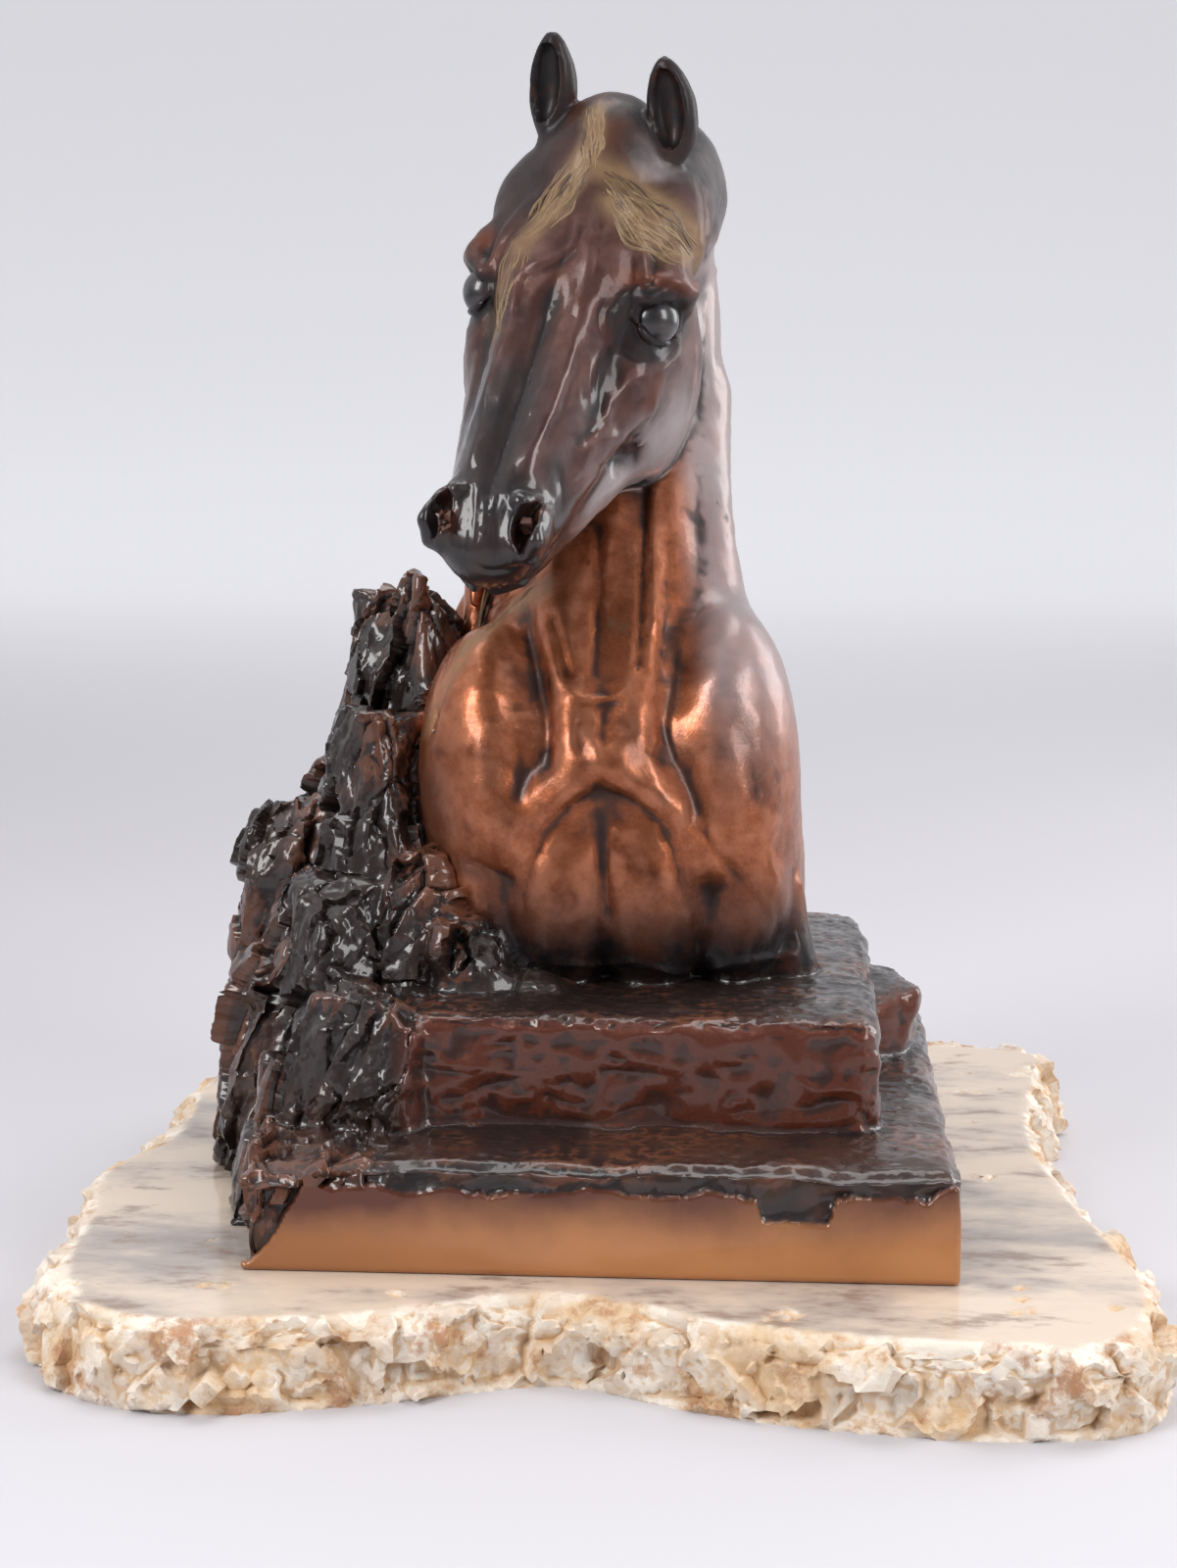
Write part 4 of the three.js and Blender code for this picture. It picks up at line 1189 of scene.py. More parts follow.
class Casting:
    """The bronze: horse, rock and ledges in one skin."""

    def __init__(self, horse: HorseForm, view: Viewpoint) -> None:
        """Keeps what the casting is worked from.

        Args:
            horse: The horse's forms.
            view: The front view, in which most lines are drawn.
        """
        self.horse = horse
        self.view = view
        self.coarse_voxel = 0.0013
        self.fine_voxel = 0.00095
        self.triangles = 194000
        self.crease = 55.0
        self.longest_move = 1.6
        self.slide = 0.7
        self.guarded_range = (0.3, 0.999)
        self.ledge_zero = np.array([6.0, -135.0, SLAB_TOP])

    def build(self, node: bpy.types.Object) -> bpy.types.Object:
        """Builds the casting's skin from its solid.

        Args:
            node: The solid's object.

        Returns:
            The finished piece, with its masks.
        """
        low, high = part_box("bronze_casting")
        skin = copied_solid(node, "bronze_skin")
        self._add_wings(skin.data)
        with_modifier(skin, "REMESH", mode="VOXEL", voxel_size=self.coarse_voxel, adaptivity=0.0)
        self._settle(skin.data, rounds=5, limit=2.4, fine=False)
        with_modifier(skin, "REMESH", mode="VOXEL", voxel_size=self.fine_voxel, adaptivity=0.0)
        self._settle(skin.data, rounds=2, limit=1.2, fine=True)
        LOG.info("skin of %d vertices settled", len(skin.data.vertices))
        self.surface = Surface(skin.data)
        self._roughen(skin.data)
        self._work_strokes(skin.data)
        self._keep_inside(skin.data, np.array(low), np.array(high))
        count = len(skin.data.polygons) * 2
        with_modifier(skin, "TRIANGULATE")
        with_modifier(
            skin, "DECIMATE", decimate_type="COLLAPSE", ratio=min(1.0, self.triangles / count),
            vertex_group=self._guarded(skin), invert_vertex_group=True, vertex_group_factor=1.0)
        skin.vertex_groups.clear()
        self._keep_masks(skin.data)
        skin.data.shade_smooth()
        skin.data.set_sharp_from_angle(angle=math.radians(self.crease))
        return skin

    def _add_wings(self, mesh: bpy.types.Mesh) -> None:
        """Adds the outer walls of both nostrils, which the next remesh joins to the skin."""
        wing = self.horse.nostril_wing
        worked = bmesh.new()
        worked.from_mesh(mesh)
        for side in (-1, 1):
            along, out, left = wing.middle
            middle = (self.horse.head_place(along, out, side * left) + HORSE_ZERO) * MM
            moved = Matrix.Translation(Vector(middle))
            spread = (self.horse.axes * np.array(wing.radii)[:, None] * self.horse.head_length * MM).T
            if np.linalg.det(spread) < 0:
                spread[:, 2] *= -1
            turned = Matrix(spread.tolist()).to_4x4()
            bmesh.ops.create_icosphere(worked, subdivisions=4, radius=0.96, matrix=moved @ turned)
        worked.to_mesh(mesh)
        worked.free()

    def _settle(self, mesh: bpy.types.Mesh, rounds: int, limit: float, fine: bool) -> None:
        """Moves the horse's vertices onto its forms.

        Args:
            mesh: The skin.
            rounds: How many times they move.
            limit: How far one may lie off the forms and still be the horse's, in millimetres.
            fine: Whether the finer forms alone tell which vertices are the horse's.
        """
        points = points_of(mesh) / MM - HORSE_ZERO
        edges = edges_of(mesh)
        away = np.abs(self.horse.distances(points)[0])
        if not fine:
            away = np.minimum(away, np.abs(self.horse.distances(points, fine=False)[0]))
        share = smoothstep(-away, -limit, -limit * 0.6) * smoothstep(points[:, 2], -1.0, 1.5)
        share = evened(share[:, None], edges, 2)[:, 0]
        for _ in range(rounds):
            distance, _ = self.horse.distances(points)
            normals = normals_of(mesh)
            move = np.clip(distance, -self.longest_move, self.longest_move) * share
            points = points - normals * move[:, None]
            relaxed = evened(points, edges, 1)
            tangent = relaxed - points
            tangent -= normals * np.sum(tangent * normals, axis=1)[:, None]
            points = points + tangent * (share * self.slide)[:, None]
            move_points(mesh, (points + HORSE_ZERO) * MM)

    def _guarded(self, skin: bpy.types.Object) -> str:
        """Groups the vertices at the polished front's outline, which stay when the rest is thinned."""
        polished = self._front_face(points_of(skin.data) / MM)
        around = evened(polished[:, None], edges_of(skin.data), 6)[:, 0]
        low, high = self.guarded_range
        group = skin.vertex_groups.new(name="guarded")
        group.add(np.flatnonzero((around > low) & (around < high)).tolist(), 1.0, "REPLACE")
        return group.name

    def _rock_share(self, points: np.ndarray) -> np.ndarray:
        """Gives how far each point, in millimetres, belongs to the rock, from 0 to 1."""
        distance, _ = self.horse.distances(points - HORSE_ZERO)
        return smoothstep(distance, 0.6, 1.8)

    def _front_face(self, points: np.ndarray) -> np.ndarray:
        """Gives how far each point belongs to the lower ledge's polished front, from 0 to 1."""
        x, y, z = (points - self.ledge_zero).T
        flat = np.column_stack([x, z, y * 0])
        ragged = lattice_noise(flat / np.array([13, 40, 1]), 4) * 1.8
        ragged += lattice_noise(flat / np.array([3.4, 12, 1]), 5) * 0.9
        top = 30.5 + ragged - 9.0 * smoothstep(-np.abs(x - 68.0), -14.0, -11.0)
        bevel = 26.0 * smoothstep(-x, 98.0, 124.0) - 6.0 * smoothstep(x, 112.0, 120.0)
        return smoothstep(top - bevel - z, -0.5, 0.5) * smoothstep(-y, -4.0, -2.5)

    def _roughen(self, mesh: bpy.types.Mesh) -> None:
        """Gives rock and ledges their broken surface."""
        points = points_of(mesh) / MM
        normals = normals_of(mesh)
        rock = self._rock_share(points)
        polished = self._front_face(points)
        height = points[:, 2] - SLAB_TOP
        upward = smoothstep(normals[:, 2], 0.55, 0.88)
        warp = drift(points / 24.0, 30) + drift(points / 8.0, 33) * 0.3
        leaning = points + np.outer(points[:, 2] * 0.22, [-1.0, 0.0, 0.0])
        gap, name, face = cell_noise((leaning + warp * 5.0) / np.array([23.0, 23.0, 56.0]), 7)
        blocks = face * 8.0 + (name - 0.5) * 3.2 - 1.2 * smoothstep(-gap, -0.07, 0.0)
        _, name, face = cell_noise((leaning + warp * 4.0) / np.array([9.0, 9.0, 24.0]), 13)
        chips = face * 2.8 + (name - 0.5) * 1.0
        streaks = (ridged_noise((leaning + warp * 3.0) / np.array([4.2, 4.2, 26.0]), 3, 11) - 0.62) * 1.9
        fine = (ridged_noise(leaning / np.array([3.0, 3.0, 6.0]), 2, 23) - 0.6) * 0.6
        fine += lattice_noise(points / 1.7, 41) * 0.12
        ledge = smoothstep(-height, -92.0, -84.0) * smoothstep(points[:, 0], -72.0, -58.0)
        riser = lattice_noise(points / 15.0, 3) * 1.5 + lattice_noise(points / 7.0, 6) * 0.7 + fine * 0.5
        riser += (ridged_noise((points + warp * 4.0) / np.array([22.0, 22.0, 10.0]), 2, 19) - 0.6) * 2.4
        sides = (blocks + chips + streaks + fine) * (1 - ledge) + riser * ledge
        crumbs = (ridged_noise(points / np.array([6.0, 4.0, 5.0]), 3, 5) - 0.62) * 1.3
        tread = lattice_noise(points / 17.0, 9) * 0.6 + crumbs + fine * 0.6
        tops = (blocks * 0.4 + chips + fine) * (1 - ledge) + tread * ledge
        lift = sides * (1 - upward) + tops * upward
        lift *= rock * (1 - polished) * smoothstep(height, 0.5, 3.0)
        near_front = smoothstep(-points[:, 1], 127.0, 131.0)
        lift -= near_front * (1 - polished) * rock * 2.2 * smoothstep(height, 14.0, 26.0)
        points += normals * lift[:, None]
        points += self._worn_edges(points) * rock[:, None]
        move_points(mesh, points * MM)

    @staticmethod
    def _worn_edges(points: np.ndarray) -> np.ndarray:
        """Gives how far the ledges' edges are worn and broken inwards, in millimetres."""
        moved = np.zeros_like(points)
        chip = 1.2 + 2.6 * np.abs(lattice_noise(points / 11.0, 71))
        chip += 1.5 * np.abs(lattice_noise(points / 4.0, 72))
        edges = (
            ((None, -89.0, UPPER_LEDGE), (0.0, 0.7, -0.7), 4.5),
            ((104.0, None, UPPER_LEDGE), (-0.7, 0.0, -0.7), 4.5),
            ((104.0, -89.0, None), (-0.7, 0.7, 0.0), 4.5),
            ((None, -135.0, LOWER_LEDGE), (0.0, 0.7, -0.7), 3.6),
            ((130.5, None, LOWER_LEDGE), (-0.7, 0.0, -0.7), 3.6),
        )
        for line, inward, reach in edges:
            away = np.zeros(len(points))
            for axis, at in enumerate(line):
                if at is not None:
                    away += (points[:, axis] - at) ** 2
            moved += np.exp(-away / reach ** 2)[:, None] * chip[:, None] * np.array(inward)
        return moved

    def _work_strokes(self, mesh: bpy.types.Mesh) -> None:
        """Works the ridges and grooves of face, neck and chest into the skin."""
        points = points_of(mesh)
        normals = normals_of(mesh)
        lift = np.zeros(len(points))
        for stroke in FACE_STROKES + CHEST_STROKES:
            laid = self.surface.seen(self.view, stroke.path)
            if len(laid) < 2:
                continue
            near, gap = near_line(points, laid, stroke.width * 2.6 * MM)
            away = [np.linalg.norm(points[near] - end, axis=1) for end in (laid[0], laid[-1])]
            taper = smoothstep(np.minimum(*away) / MM, 0.0, stroke.width * 2.8) * 0.92 + 0.08
            lift[near] += stroke.rise * np.exp(-((gap / MM / stroke.width) ** 2)) * taper
        there = points / MM
        hammered = lattice_noise(there / 2.6, 81) * 0.1 + lattice_noise(there / 6.0, 82) * 0.22
        hammered += (ridged_noise(there / np.array([7.0, 7.0, 16.0]), 2, 83) - 0.6) * 0.35
        lift += hammered * (1 - self._rock_share(there))
        points += normals * (lift * MM)[:, None]
        move_points(mesh, points)

    @staticmethod
    def _keep_inside(mesh: bpy.types.Mesh, low: np.ndarray, high: np.ndarray) -> None:
        """Keeps the skin inside its solid's box."""
        move_points(mesh, np.clip(points_of(mesh), low, high))

    def _painted(self, points: np.ndarray, strokes: list[Stroke]) -> np.ndarray:
        """Gives how strongly strokes of colour reach each point, from 0 to 1."""
        mask = np.zeros(len(points))
        for stroke in strokes:
            laid = self.surface.seen(self.view, stroke.path)
            if len(laid) < 2:
                continue
            near, gap = near_line(points, laid, stroke.width * 2.0 * MM)
            mask[near] = np.maximum(mask[near], stroke.rise * np.exp(-((gap / MM / stroke.width) ** 2.6)))
        return mask

    def _keep_masks(self, mesh: bpy.types.Mesh) -> None:
        """Stores where each finish lies, and where shade, highlights and sheen are painted."""
        points = points_of(mesh)
        normals = normals_of(mesh)
        edges = edges_of(mesh)
        cavity = np.clip(0.5 + hollows(points, normals, edges, 5) / MM * 1.1, 0.0, 1.0)
        drawn = points / MM - HORSE_ZERO
        broad = np.clip(0.5 + hollows(points, normals, edges, 26) / MM * 0.55, 0.0, 1.0)
        distance, head = self.horse.distances(drawn)
        share = self.horse.head_share(drawn)
        rock = smoothstep(distance, 0.9, 2.2)
        rock = np.maximum(rock, smoothstep(-drawn[:, 2], -2.5, -0.5))
        polished = self._front_face(points / MM) * rock
        in_head = smoothstep(-head, -1.6, -0.2)
        along, out, left = share.T
        wobble = lattice_noise(drawn / 18.0, 51) * 0.05
        about = np.maximum(in_head, smoothstep(-head, -12.0, -3.0) * smoothstep(out, -0.36, -0.24))
        nose = smoothstep(along + wobble, 0.4, 0.66) * smoothstep(out, -0.17, -0.07)
        nose *= smoothstep(-left, -0.09, -0.01)
        muzzle = smoothstep(along + wobble, 0.7, 0.84)
        crown = smoothstep(-along + wobble, -0.19, -0.03) * smoothstep(out, -0.4, -0.28)
        beside = smoothstep(-left, 0.02, 0.1) * smoothstep(-along + wobble, -0.34, -0.2)
        dark = np.maximum.reduce([
            nose * 0.85 * in_head, muzzle * 0.95 * in_head, crown * 0.92, beside * about * 0.75])
        dark = np.maximum(dark, self._painted(points, DARK_STROKES))
        # Painted shade: the chest is darkened towards its foot, where it meets the ledge
        below = smoothstep(-drawn[:, 2] + wobble * 90, -52.0, -6.0) * (1 - in_head)
        shaded = smoothstep(-drawn[:, 0], 52.0, 70.0) * smoothstep(-drawn[:, 2], -110.0, -60.0)
        # Painted shade: the skin's broad hollows are darkened
        creased = smoothstep(broad, 0.57, 0.95) * 0.7
        folded = np.column_stack([along, out, np.abs(left)]) - np.array(self.horse.eyeball)
        socket = smoothstep(-np.linalg.norm(folded, axis=1) / self.horse.eye_radius, -1.75, -1.4)
        # The dark mask holds the patina's black points and painted shade: the chest's foot, the low flank on
        # the mane's side, the broad hollows and the chest's dark strokes
        dark = np.maximum.reduce([dark, below, shaded * 0.6 * (1 - in_head), creased, socket * 0.95])
        ragged = 0.55 + 0.6 * smoothstep(ridged_noise(drawn / np.array([5.0, 5.0, 14.0]), 2, 57), 0.35, 0.75)
        gold = np.clip(self._painted(points, GOLD_STROKES) * ragged, 0, 1)
        # Painted sheen: the neck's flank away from the mane and the lower cheek, where grey stands for a
        # reflection
        flank = smoothstep(drawn[:, 0] + drawn[:, 2] * 0.14, 42.0, 58.0)
        flank *= smoothstep(drawn[:, 2], 60.0, 130.0) * (1 - in_head)
        painted_sheen = np.maximum(flank, in_head * smoothstep(along, 0.35, 0.5) * smoothstep(-out, 0.16, 0.3))
        ear = np.minimum(self.horse.ear_hollow(drawn, -1), self.horse.ear_hollow(drawn, 1))
        inner = smoothstep(-ear, -0.9, -0.2)
        dark = dark * (1 - inner) + inner * 0.95
        keep_masks(mesh, "patina_and_shade", (dark, gold, np.clip(about, 0, 1)))
        keep_masks(mesh, "form", (cavity, rock, polished))
        keep_masks(mesh, "accent", (
            self._riser(points / MM, normals), self._painted(points, VERDIGRIS_STROKES),
            self._painted(points, WARM_STROKES)))
        # The broad ridges and hollows, which the finish turns into rubbed wear and a painted highlight on the
        # ridges
        keep_masks(mesh, "wear_and_highlight", (broad, broad, broad))
        keep_masks(mesh, "painted_sheen", (painted_sheen, inner, smoothstep(along + wobble, 0.35, 0.62) * in_head))

    @staticmethod
    def _riser(points: np.ndarray, normals: np.ndarray) -> np.ndarray:
        """Gives how far each point belongs to the upper ledge's red-brown front, from 0 to 1."""
        facing = smoothstep(-normals[:, 1], 0.25, 0.6)
        level = smoothstep(points[:, 2], 68.0, 72.0) * smoothstep(-points[:, 2], -112.0, -106.0)
        patchy = smoothstep(lattice_noise(points / 24.0, 61), -0.8, -0.3)
        return facing * level * patchy * smoothstep(points[:, 0], -72.0, -60.0)


@dataclass(frozen=True)
class Lock:
    """A flat lock of carved strands between two edges, drawn in the front view."""

    left: Path
    right: Path
    strands: int
    thick: float


class Hair:
    """Strands of the forelock and mane, sunk into the bronze skin."""

    def __init__(self, surface: Surface, horse: HorseForm, view: Viewpoint) -> None:
        """Keeps what the strands lie on.

        Args:
            surface: The skin before its own relief.
            horse: The horse's forms.
            view: The front view.
        """
        self.surface = surface
        self.horse = horse
        self.view = view
        self.chance = np.random.default_rng(20)
        self.thinnest = 0.12
        self.sunk = 0.45

    @staticmethod
    def _along(path: Path, share: float) -> np.ndarray:
        """Gives the place a share of the way along a path."""
        stops = np.array(path, dtype=float)
        for _ in range(3):
            early, late = stops[:-1] * 0.75 + stops[1:] * 0.25, stops[:-1] * 0.25 + stops[1:] * 0.75
            stops = np.vstack([stops[:1], np.stack([early, late], axis=1).reshape(-1, 2), stops[-1:]])
        lengths = lengths_along(stops)
        at = share * lengths[-1]
        return np.array([np.interp(at, lengths, stops[:, 0]), np.interp(at, lengths, stops[:, 1])])

    def forelock(self, locks: list[Lock]) -> bpy.types.Object:
        """Builds the forelock's strands.

        Args:
            locks: The locks in the front view.

        Returns:
            The piece.
        """
        lines = []
        for lock in locks:
            for number in range(lock.strands):
                across = (number + self.chance.uniform(-0.8, 0.8) + 0.5) / lock.strands
                sway = self.chance.uniform(-0.09, 0.09)
                start, end = self.chance.uniform(0.0, 0.3), self.chance.uniform(0.6, 1.0)
                line = []
                for stop in np.linspace(start, end, 18):
                    side = across + sway * math.sin(stop * 5.0) + 0.05 * math.sin(stop * 17.0 + number)
                    place = self._along(lock.left, stop) * (1 - side) + self._along(lock.right, stop) * side
                    hit = self.surface.tree.ray_cast(Vector(self.view.place), self.view.ray(*place))
                    if hit[0] is not None:
                        line.append((np.array(hit[0]), np.array(hit[1])))
                lines.append((line, lock.thick * self.chance.uniform(0.7, 1.2)))
        return self._strands("forelock", lines)

    def mane(self, count: int) -> bpy.types.Object:
        """Builds the mane's strands down the right side of the neck.

        Args:
            count: How many strands.

        Returns:
            The piece.
        """
        lines = []
        for lock in self.horse.mane_locks(count, wave=0.0):
            stops = np.array(lock)[:, :3]
            shift = self.chance.uniform(-2.5, 2.5, 3)
            lengths = lengths_along(stops)
            line = []
            for at in np.linspace(self.chance.uniform(0.0, 0.1), self.chance.uniform(0.75, 1.0), 20):
                place = np.array([np.interp(at * lengths[-1], lengths, stops[:, k]) for k in range(3)])
                wave = math.sin(at * 9.0 + shift[2]) * 1.8
                place = place + np.array([0.0, wave, 0.0]) + shift * at
                line.append(self.surface.nearest((place + HORSE_ZERO) * MM))
            lines.append((line, self.chance.uniform(0.75, 1.25)))
        return self._strands("mane", lines)

    def _strands(self, name: str, lines: list[tuple[Facings, float]]) -> bpy.types.Object:
        """Makes tapered round strands along lines on the skin.

        Args:
            name: The piece's name.
            lines: Each line's places with their facing, and its radius in millimetres.

        Returns:
            The piece, with each strand's own shade.
        """
        curve = bpy.data.curves.new(name, "CURVE")
        curve.dimensions = "3D"
        curve.bevel_depth = MM
        curve.bevel_resolution = 1
        curve.use_fill_caps = True
        shades, counts = [], []
        for line, radius in lines:
            for places in self._unbroken(line):
                count = len(places)
                counts.append(count)
                spline = curve.splines.new("POLY")
                spline.points.add(count - 1)
                for number, (place, facing) in enumerate(places):
                    taper = math.sin(math.pi * (0.1 + 0.88 * number / (count - 1))) ** 0.6
                    own = max(radius * taper, self.thinnest)
                    sunk = place - facing * own * self.sunk * MM
                    spline.points[number].co = (*sunk, 1.0)
                    spline.points[number].radius = own
                shades.append(self.chance.uniform(0.0, 1.0))
        holder = new_object(name, curve)
        graph = bpy.context.evaluated_depsgraph_get()
        mesh = bpy.data.meshes.new_from_object(holder.evaluated_get(graph))
        bpy.data.objects.remove(holder)
        mesh.name = name
        self._keep_shade(mesh, shades, counts)
        mesh.shade_smooth()
        return new_object(name, mesh)

    @staticmethod
    def _unbroken(line: Facings) -> list[Facings]:
        """Parts a line where it leaps, and keeps the parts of three places or more."""
        parts: list[Facings] = [[]]
        for place in line:
            if parts[-1] and np.linalg.norm(parts[-1][-1][0] - place[0]) > STRAND_LEAP:
                parts.append([])
            parts[-1].append(place)
        return [part for part in parts if len(part) >= 3]

    @staticmethod
    def _keep_shade(mesh: bpy.types.Mesh, shades: list[float], counts: list[int]) -> None:
        """Stores each strand's shade on its vertices, which come strand by strand."""
        total = sum(counts)
        around = len(mesh.vertices) / total
        shade = np.repeat([s ** 3 for s in shades], [round(c * around) for c in counts])
        shade = np.resize(shade, len(mesh.vertices))
        keep_masks(mesh, "shade", (shade, shade, shade))


class Eyes:
    """The two glossy eyeballs."""

    def __init__(self, horse: HorseForm) -> None:
        """Keeps the horse's forms."""
        self.horse = horse
        self.proud = 0.25

    def build(self) -> list[bpy.types.Object]:
        """Builds both eyeballs in their sockets."""
        return [self._eye("eye_left", 1), self._eye("eye_right", -1)]

    def _eye(self, name: str, side: int) -> bpy.types.Object:
        """Builds one eyeball.

        Args:
            name: The piece's name.
            side: 1 on the horse's left and -1 on its right.

        Returns:
            The piece.
        """
        along, out, left = self.horse.eyeball
        middle = (self.horse.head_place(along, out, side * left) + HORSE_ZERO) * MM
        radius = (self.horse.eye_radius * self.horse.head_length + self.proud) * MM
        ball = bmesh.new()
        moved = Matrix.Translation(Vector(middle))
        bmesh.ops.create_icosphere(ball, subdivisions=5, radius=radius, matrix=moved)
        mesh = bpy.data.meshes.new(name)
        ball.to_mesh(mesh)
        ball.free()
        mesh.shade_smooth()
        return new_object(name, mesh)


# The slab


@dataclass
class Slab:
    """The stone slab, with sizes in millimetres and its crease in degrees."""

    voxel: float = 1.7
    triangles: int = 120000
    thickness: float = SLAB_TOP
    chunk: float = 19.0
    crumb: float = 6.0
    crease: float = 45.0
    side_rounds: int = 3
    rim_rounds: int = 22

    def build(self, node: bpy.types.Object) -> bpy.types.Object:
        """Builds the slab's skin from its solid.

        Args:
            node: The solid's object.

        Returns:
            The finished piece, with its masks.
        """
        low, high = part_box("stone_slab")
        skin = copied_solid(node, "stone_skin")
        with_modifier(skin, "REMESH", mode="VOXEL", voxel_size=self.voxel * MM, adaptivity=0.0)
        mesh = skin.data
        points = points_of(mesh) / MM
        normals = normals_of(mesh)
        edges = edges_of(mesh)
        side = 1.0 - smoothstep(np.abs(evened(normals, edges, self.side_rounds)[:, 2]), 0.9, 0.985)
        warp = drift(points / 8.0, 80)
        _, name, face = cell_noise((points + warp * 2.5) / self.chunk, 5)
        lift = face * 6.5 + (name - 0.7) * 4.0
        _, name, face = cell_noise((points + warp) / self.crumb, 9)
        lift += face * 1.6 + (name - 0.55) * 0.8 + (ridged_noise(points / 3.0, 2, 29) - 0.6) * 0.9
        lift += lattice_noise(points / 26, 8) * 1.6 - 0.8
        lift *= side * smoothstep(points[:, 2], 0.3, 2.5)
        rim = 1.0 - smoothstep(evened(normals[:, 2:], edges, self.rim_rounds)[:, 0], 0.62, 0.985)
        ragged = smoothstep(rim + lattice_noise(points / 15.0, 91) * 0.45 + face * 0.2, 0.35, 0.6)
        sunk = ragged * (1 - side) * smoothstep(points[:, 2], 28.0, 29.8) * (1.4 + name * 1.6 + face * 0.8)
        points = points + normals * lift[:, None] - np.outer(sunk, [0.0, 0.0, 1.0])
        points = np.clip(points, np.array(low) / MM, np.array(high) / MM)
        move_points(mesh, points * MM)
        with_modifier(skin, "TRIANGULATE")
        ratio = min(1.0, self.triangles / len(skin.data.polygons))
        with_modifier(skin, "DECIMATE", decimate_type="COLLAPSE", ratio=ratio)
        self._keep_masks(skin.data)
        skin.data.shade_smooth()
        skin.data.set_sharp_from_angle(angle=math.radians(self.crease))
        return skin

    def _keep_masks(self, mesh: bpy.types.Mesh) -> None:
        """Stores where the slab is broken, and its hollows."""
        points = points_of(mesh) / MM
        normals = normals_of(mesh)
        edges = edges_of(mesh)
        top = smoothstep(normals[:, 2], 0.93, 0.985)
        top *= smoothstep(points[:, 2], self.thickness - 0.5, self.thickness - 0.15)
        broken = 1.0 - evened(top[:, None], edges, 1)[:, 0]
        hollow = hollows(points, normals, edges, 3)
        keep_masks(mesh, "breaks", (broken, np.clip(0.5 + hollow * 0.8, 0.0, 1.0), broken))


# Lines of the front view

FACE_STROKES = [
    # Brow and the creases about the eye.
    Stroke(1.0, 2.6, [(640, 285), (660, 285), (682, 286), (700, 292), (711, 304)]),
    Stroke(-0.7, 1.2, [(622, 340), (622, 320), (636, 300), (655, 290), (678, 291), (698, 300)]),
    Stroke(-0.5, 1.2, [(613, 350), (611, 322), (622, 302)]),
    Stroke(-0.6, 1.4, [(630, 358), (648, 370), (672, 372), (690, 360)]),
    Stroke(0.8, 3.4, [(628, 384), (650, 386), (670, 380)]),
    # Cheek and face.
    Stroke(0.5, 1.8, [(602, 362), (600, 390), (603, 418)]),
    Stroke(-0.4, 1.4, [(611, 364), (611, 395), (613, 420)]),
    Stroke(0.5, 1.8, [(621, 370), (622, 400), (620, 430)]),
    Stroke(-1.0, 2.8, [(650, 398), (654, 412), (656, 422)]),
    Stroke(0.6, 2.4, [(664, 392), (668, 412), (660, 432)]),
    Stroke(-0.6, 1.4, [(584, 456), (598, 442), (608, 436), (624, 428)]),
    Stroke(0.5, 2.0, [(586, 468), (605, 452), (625, 446), (644, 452)]),
    Stroke(-0.5, 2.0, [(596, 478), (616, 464), (636, 466)]),
    Stroke(-0.7, 2.0, [(652, 440), (649, 460), (646, 482)]),
    Stroke(0.6, 2.2, [(711, 340), (709, 380), (703, 415), (693, 450)]),
    Stroke(-0.5, 2.4, [(692, 364), (676, 405), (662, 444)]),
    # Forehead and nose.
    Stroke(0.6, 2.4, [(607, 252), (600, 297), (588, 330), (580, 368), (563, 420), (547, 450), (529, 480)]),
    Stroke(-0.5, 2.2, [(597, 335), (590, 372), (574, 420), (554, 460)]),
    Stroke(0.6, 2.2, [(529, 285), (520, 337), (500, 383), (487, 420), (475, 456)]),
    Stroke(-0.5, 1.8, [(511, 330), (491, 384), (477, 424)]),
    Stroke(-0.6, 4.5, [(564, 318), (548, 370), (530, 410), (510, 456)]),
    Stroke(0.6, 1.7, [(588, 214), (585, 246), (571, 260), (552, 267), (538, 272), (527, 288)]),
    Stroke(-0.5, 1.4, [(593, 228), (588, 254), (572, 269), (553, 277), (538, 284)]),
    Stroke(0.4, 1.5, [(608, 198), (604, 240), (596, 282), (588, 325)]),
    Stroke(-0.4, 1.3, [(615, 224), (611, 262), (603, 304)]),
    Stroke(-0.5, 1.8, [(560, 192), (540, 222), (516, 246)]),
    # Muzzle.
    *[
        Stroke(-0.4, 0.8, [(x + n * 2, 492 + n % 2 * 9), (x, 522), (x - 4 + n * 2, 566 - n % 3 * 7)])
        for n, x in enumerate((481, 489, 497, 505))
    ],
    Stroke(-0.8, 1.3, [(466, 566), (480, 576), (497, 583), (517, 582), (535, 577), (552, 566)]),
    Stroke(0.5, 2.0, [(536, 486), (552, 498), (562, 514), (563, 540)]),
    Stroke(-0.5, 1.8, [(568, 478), (575, 500), (573, 528)]),
    Stroke(-0.6, 2.2, [(576, 502), (602, 484), (626, 470), (648, 460)]),
    # Behind the cheek, down the side of the neck.
    Stroke(-0.8, 2.2, [(716, 172), (722, 220), (720, 270)]),
    Stroke(0.6, 2.4, [(727, 190), (731, 240), (729, 300), (726, 390)]),
    Stroke(-0.5, 2.2, [(722, 290), (718, 360), (714, 440)]),
]

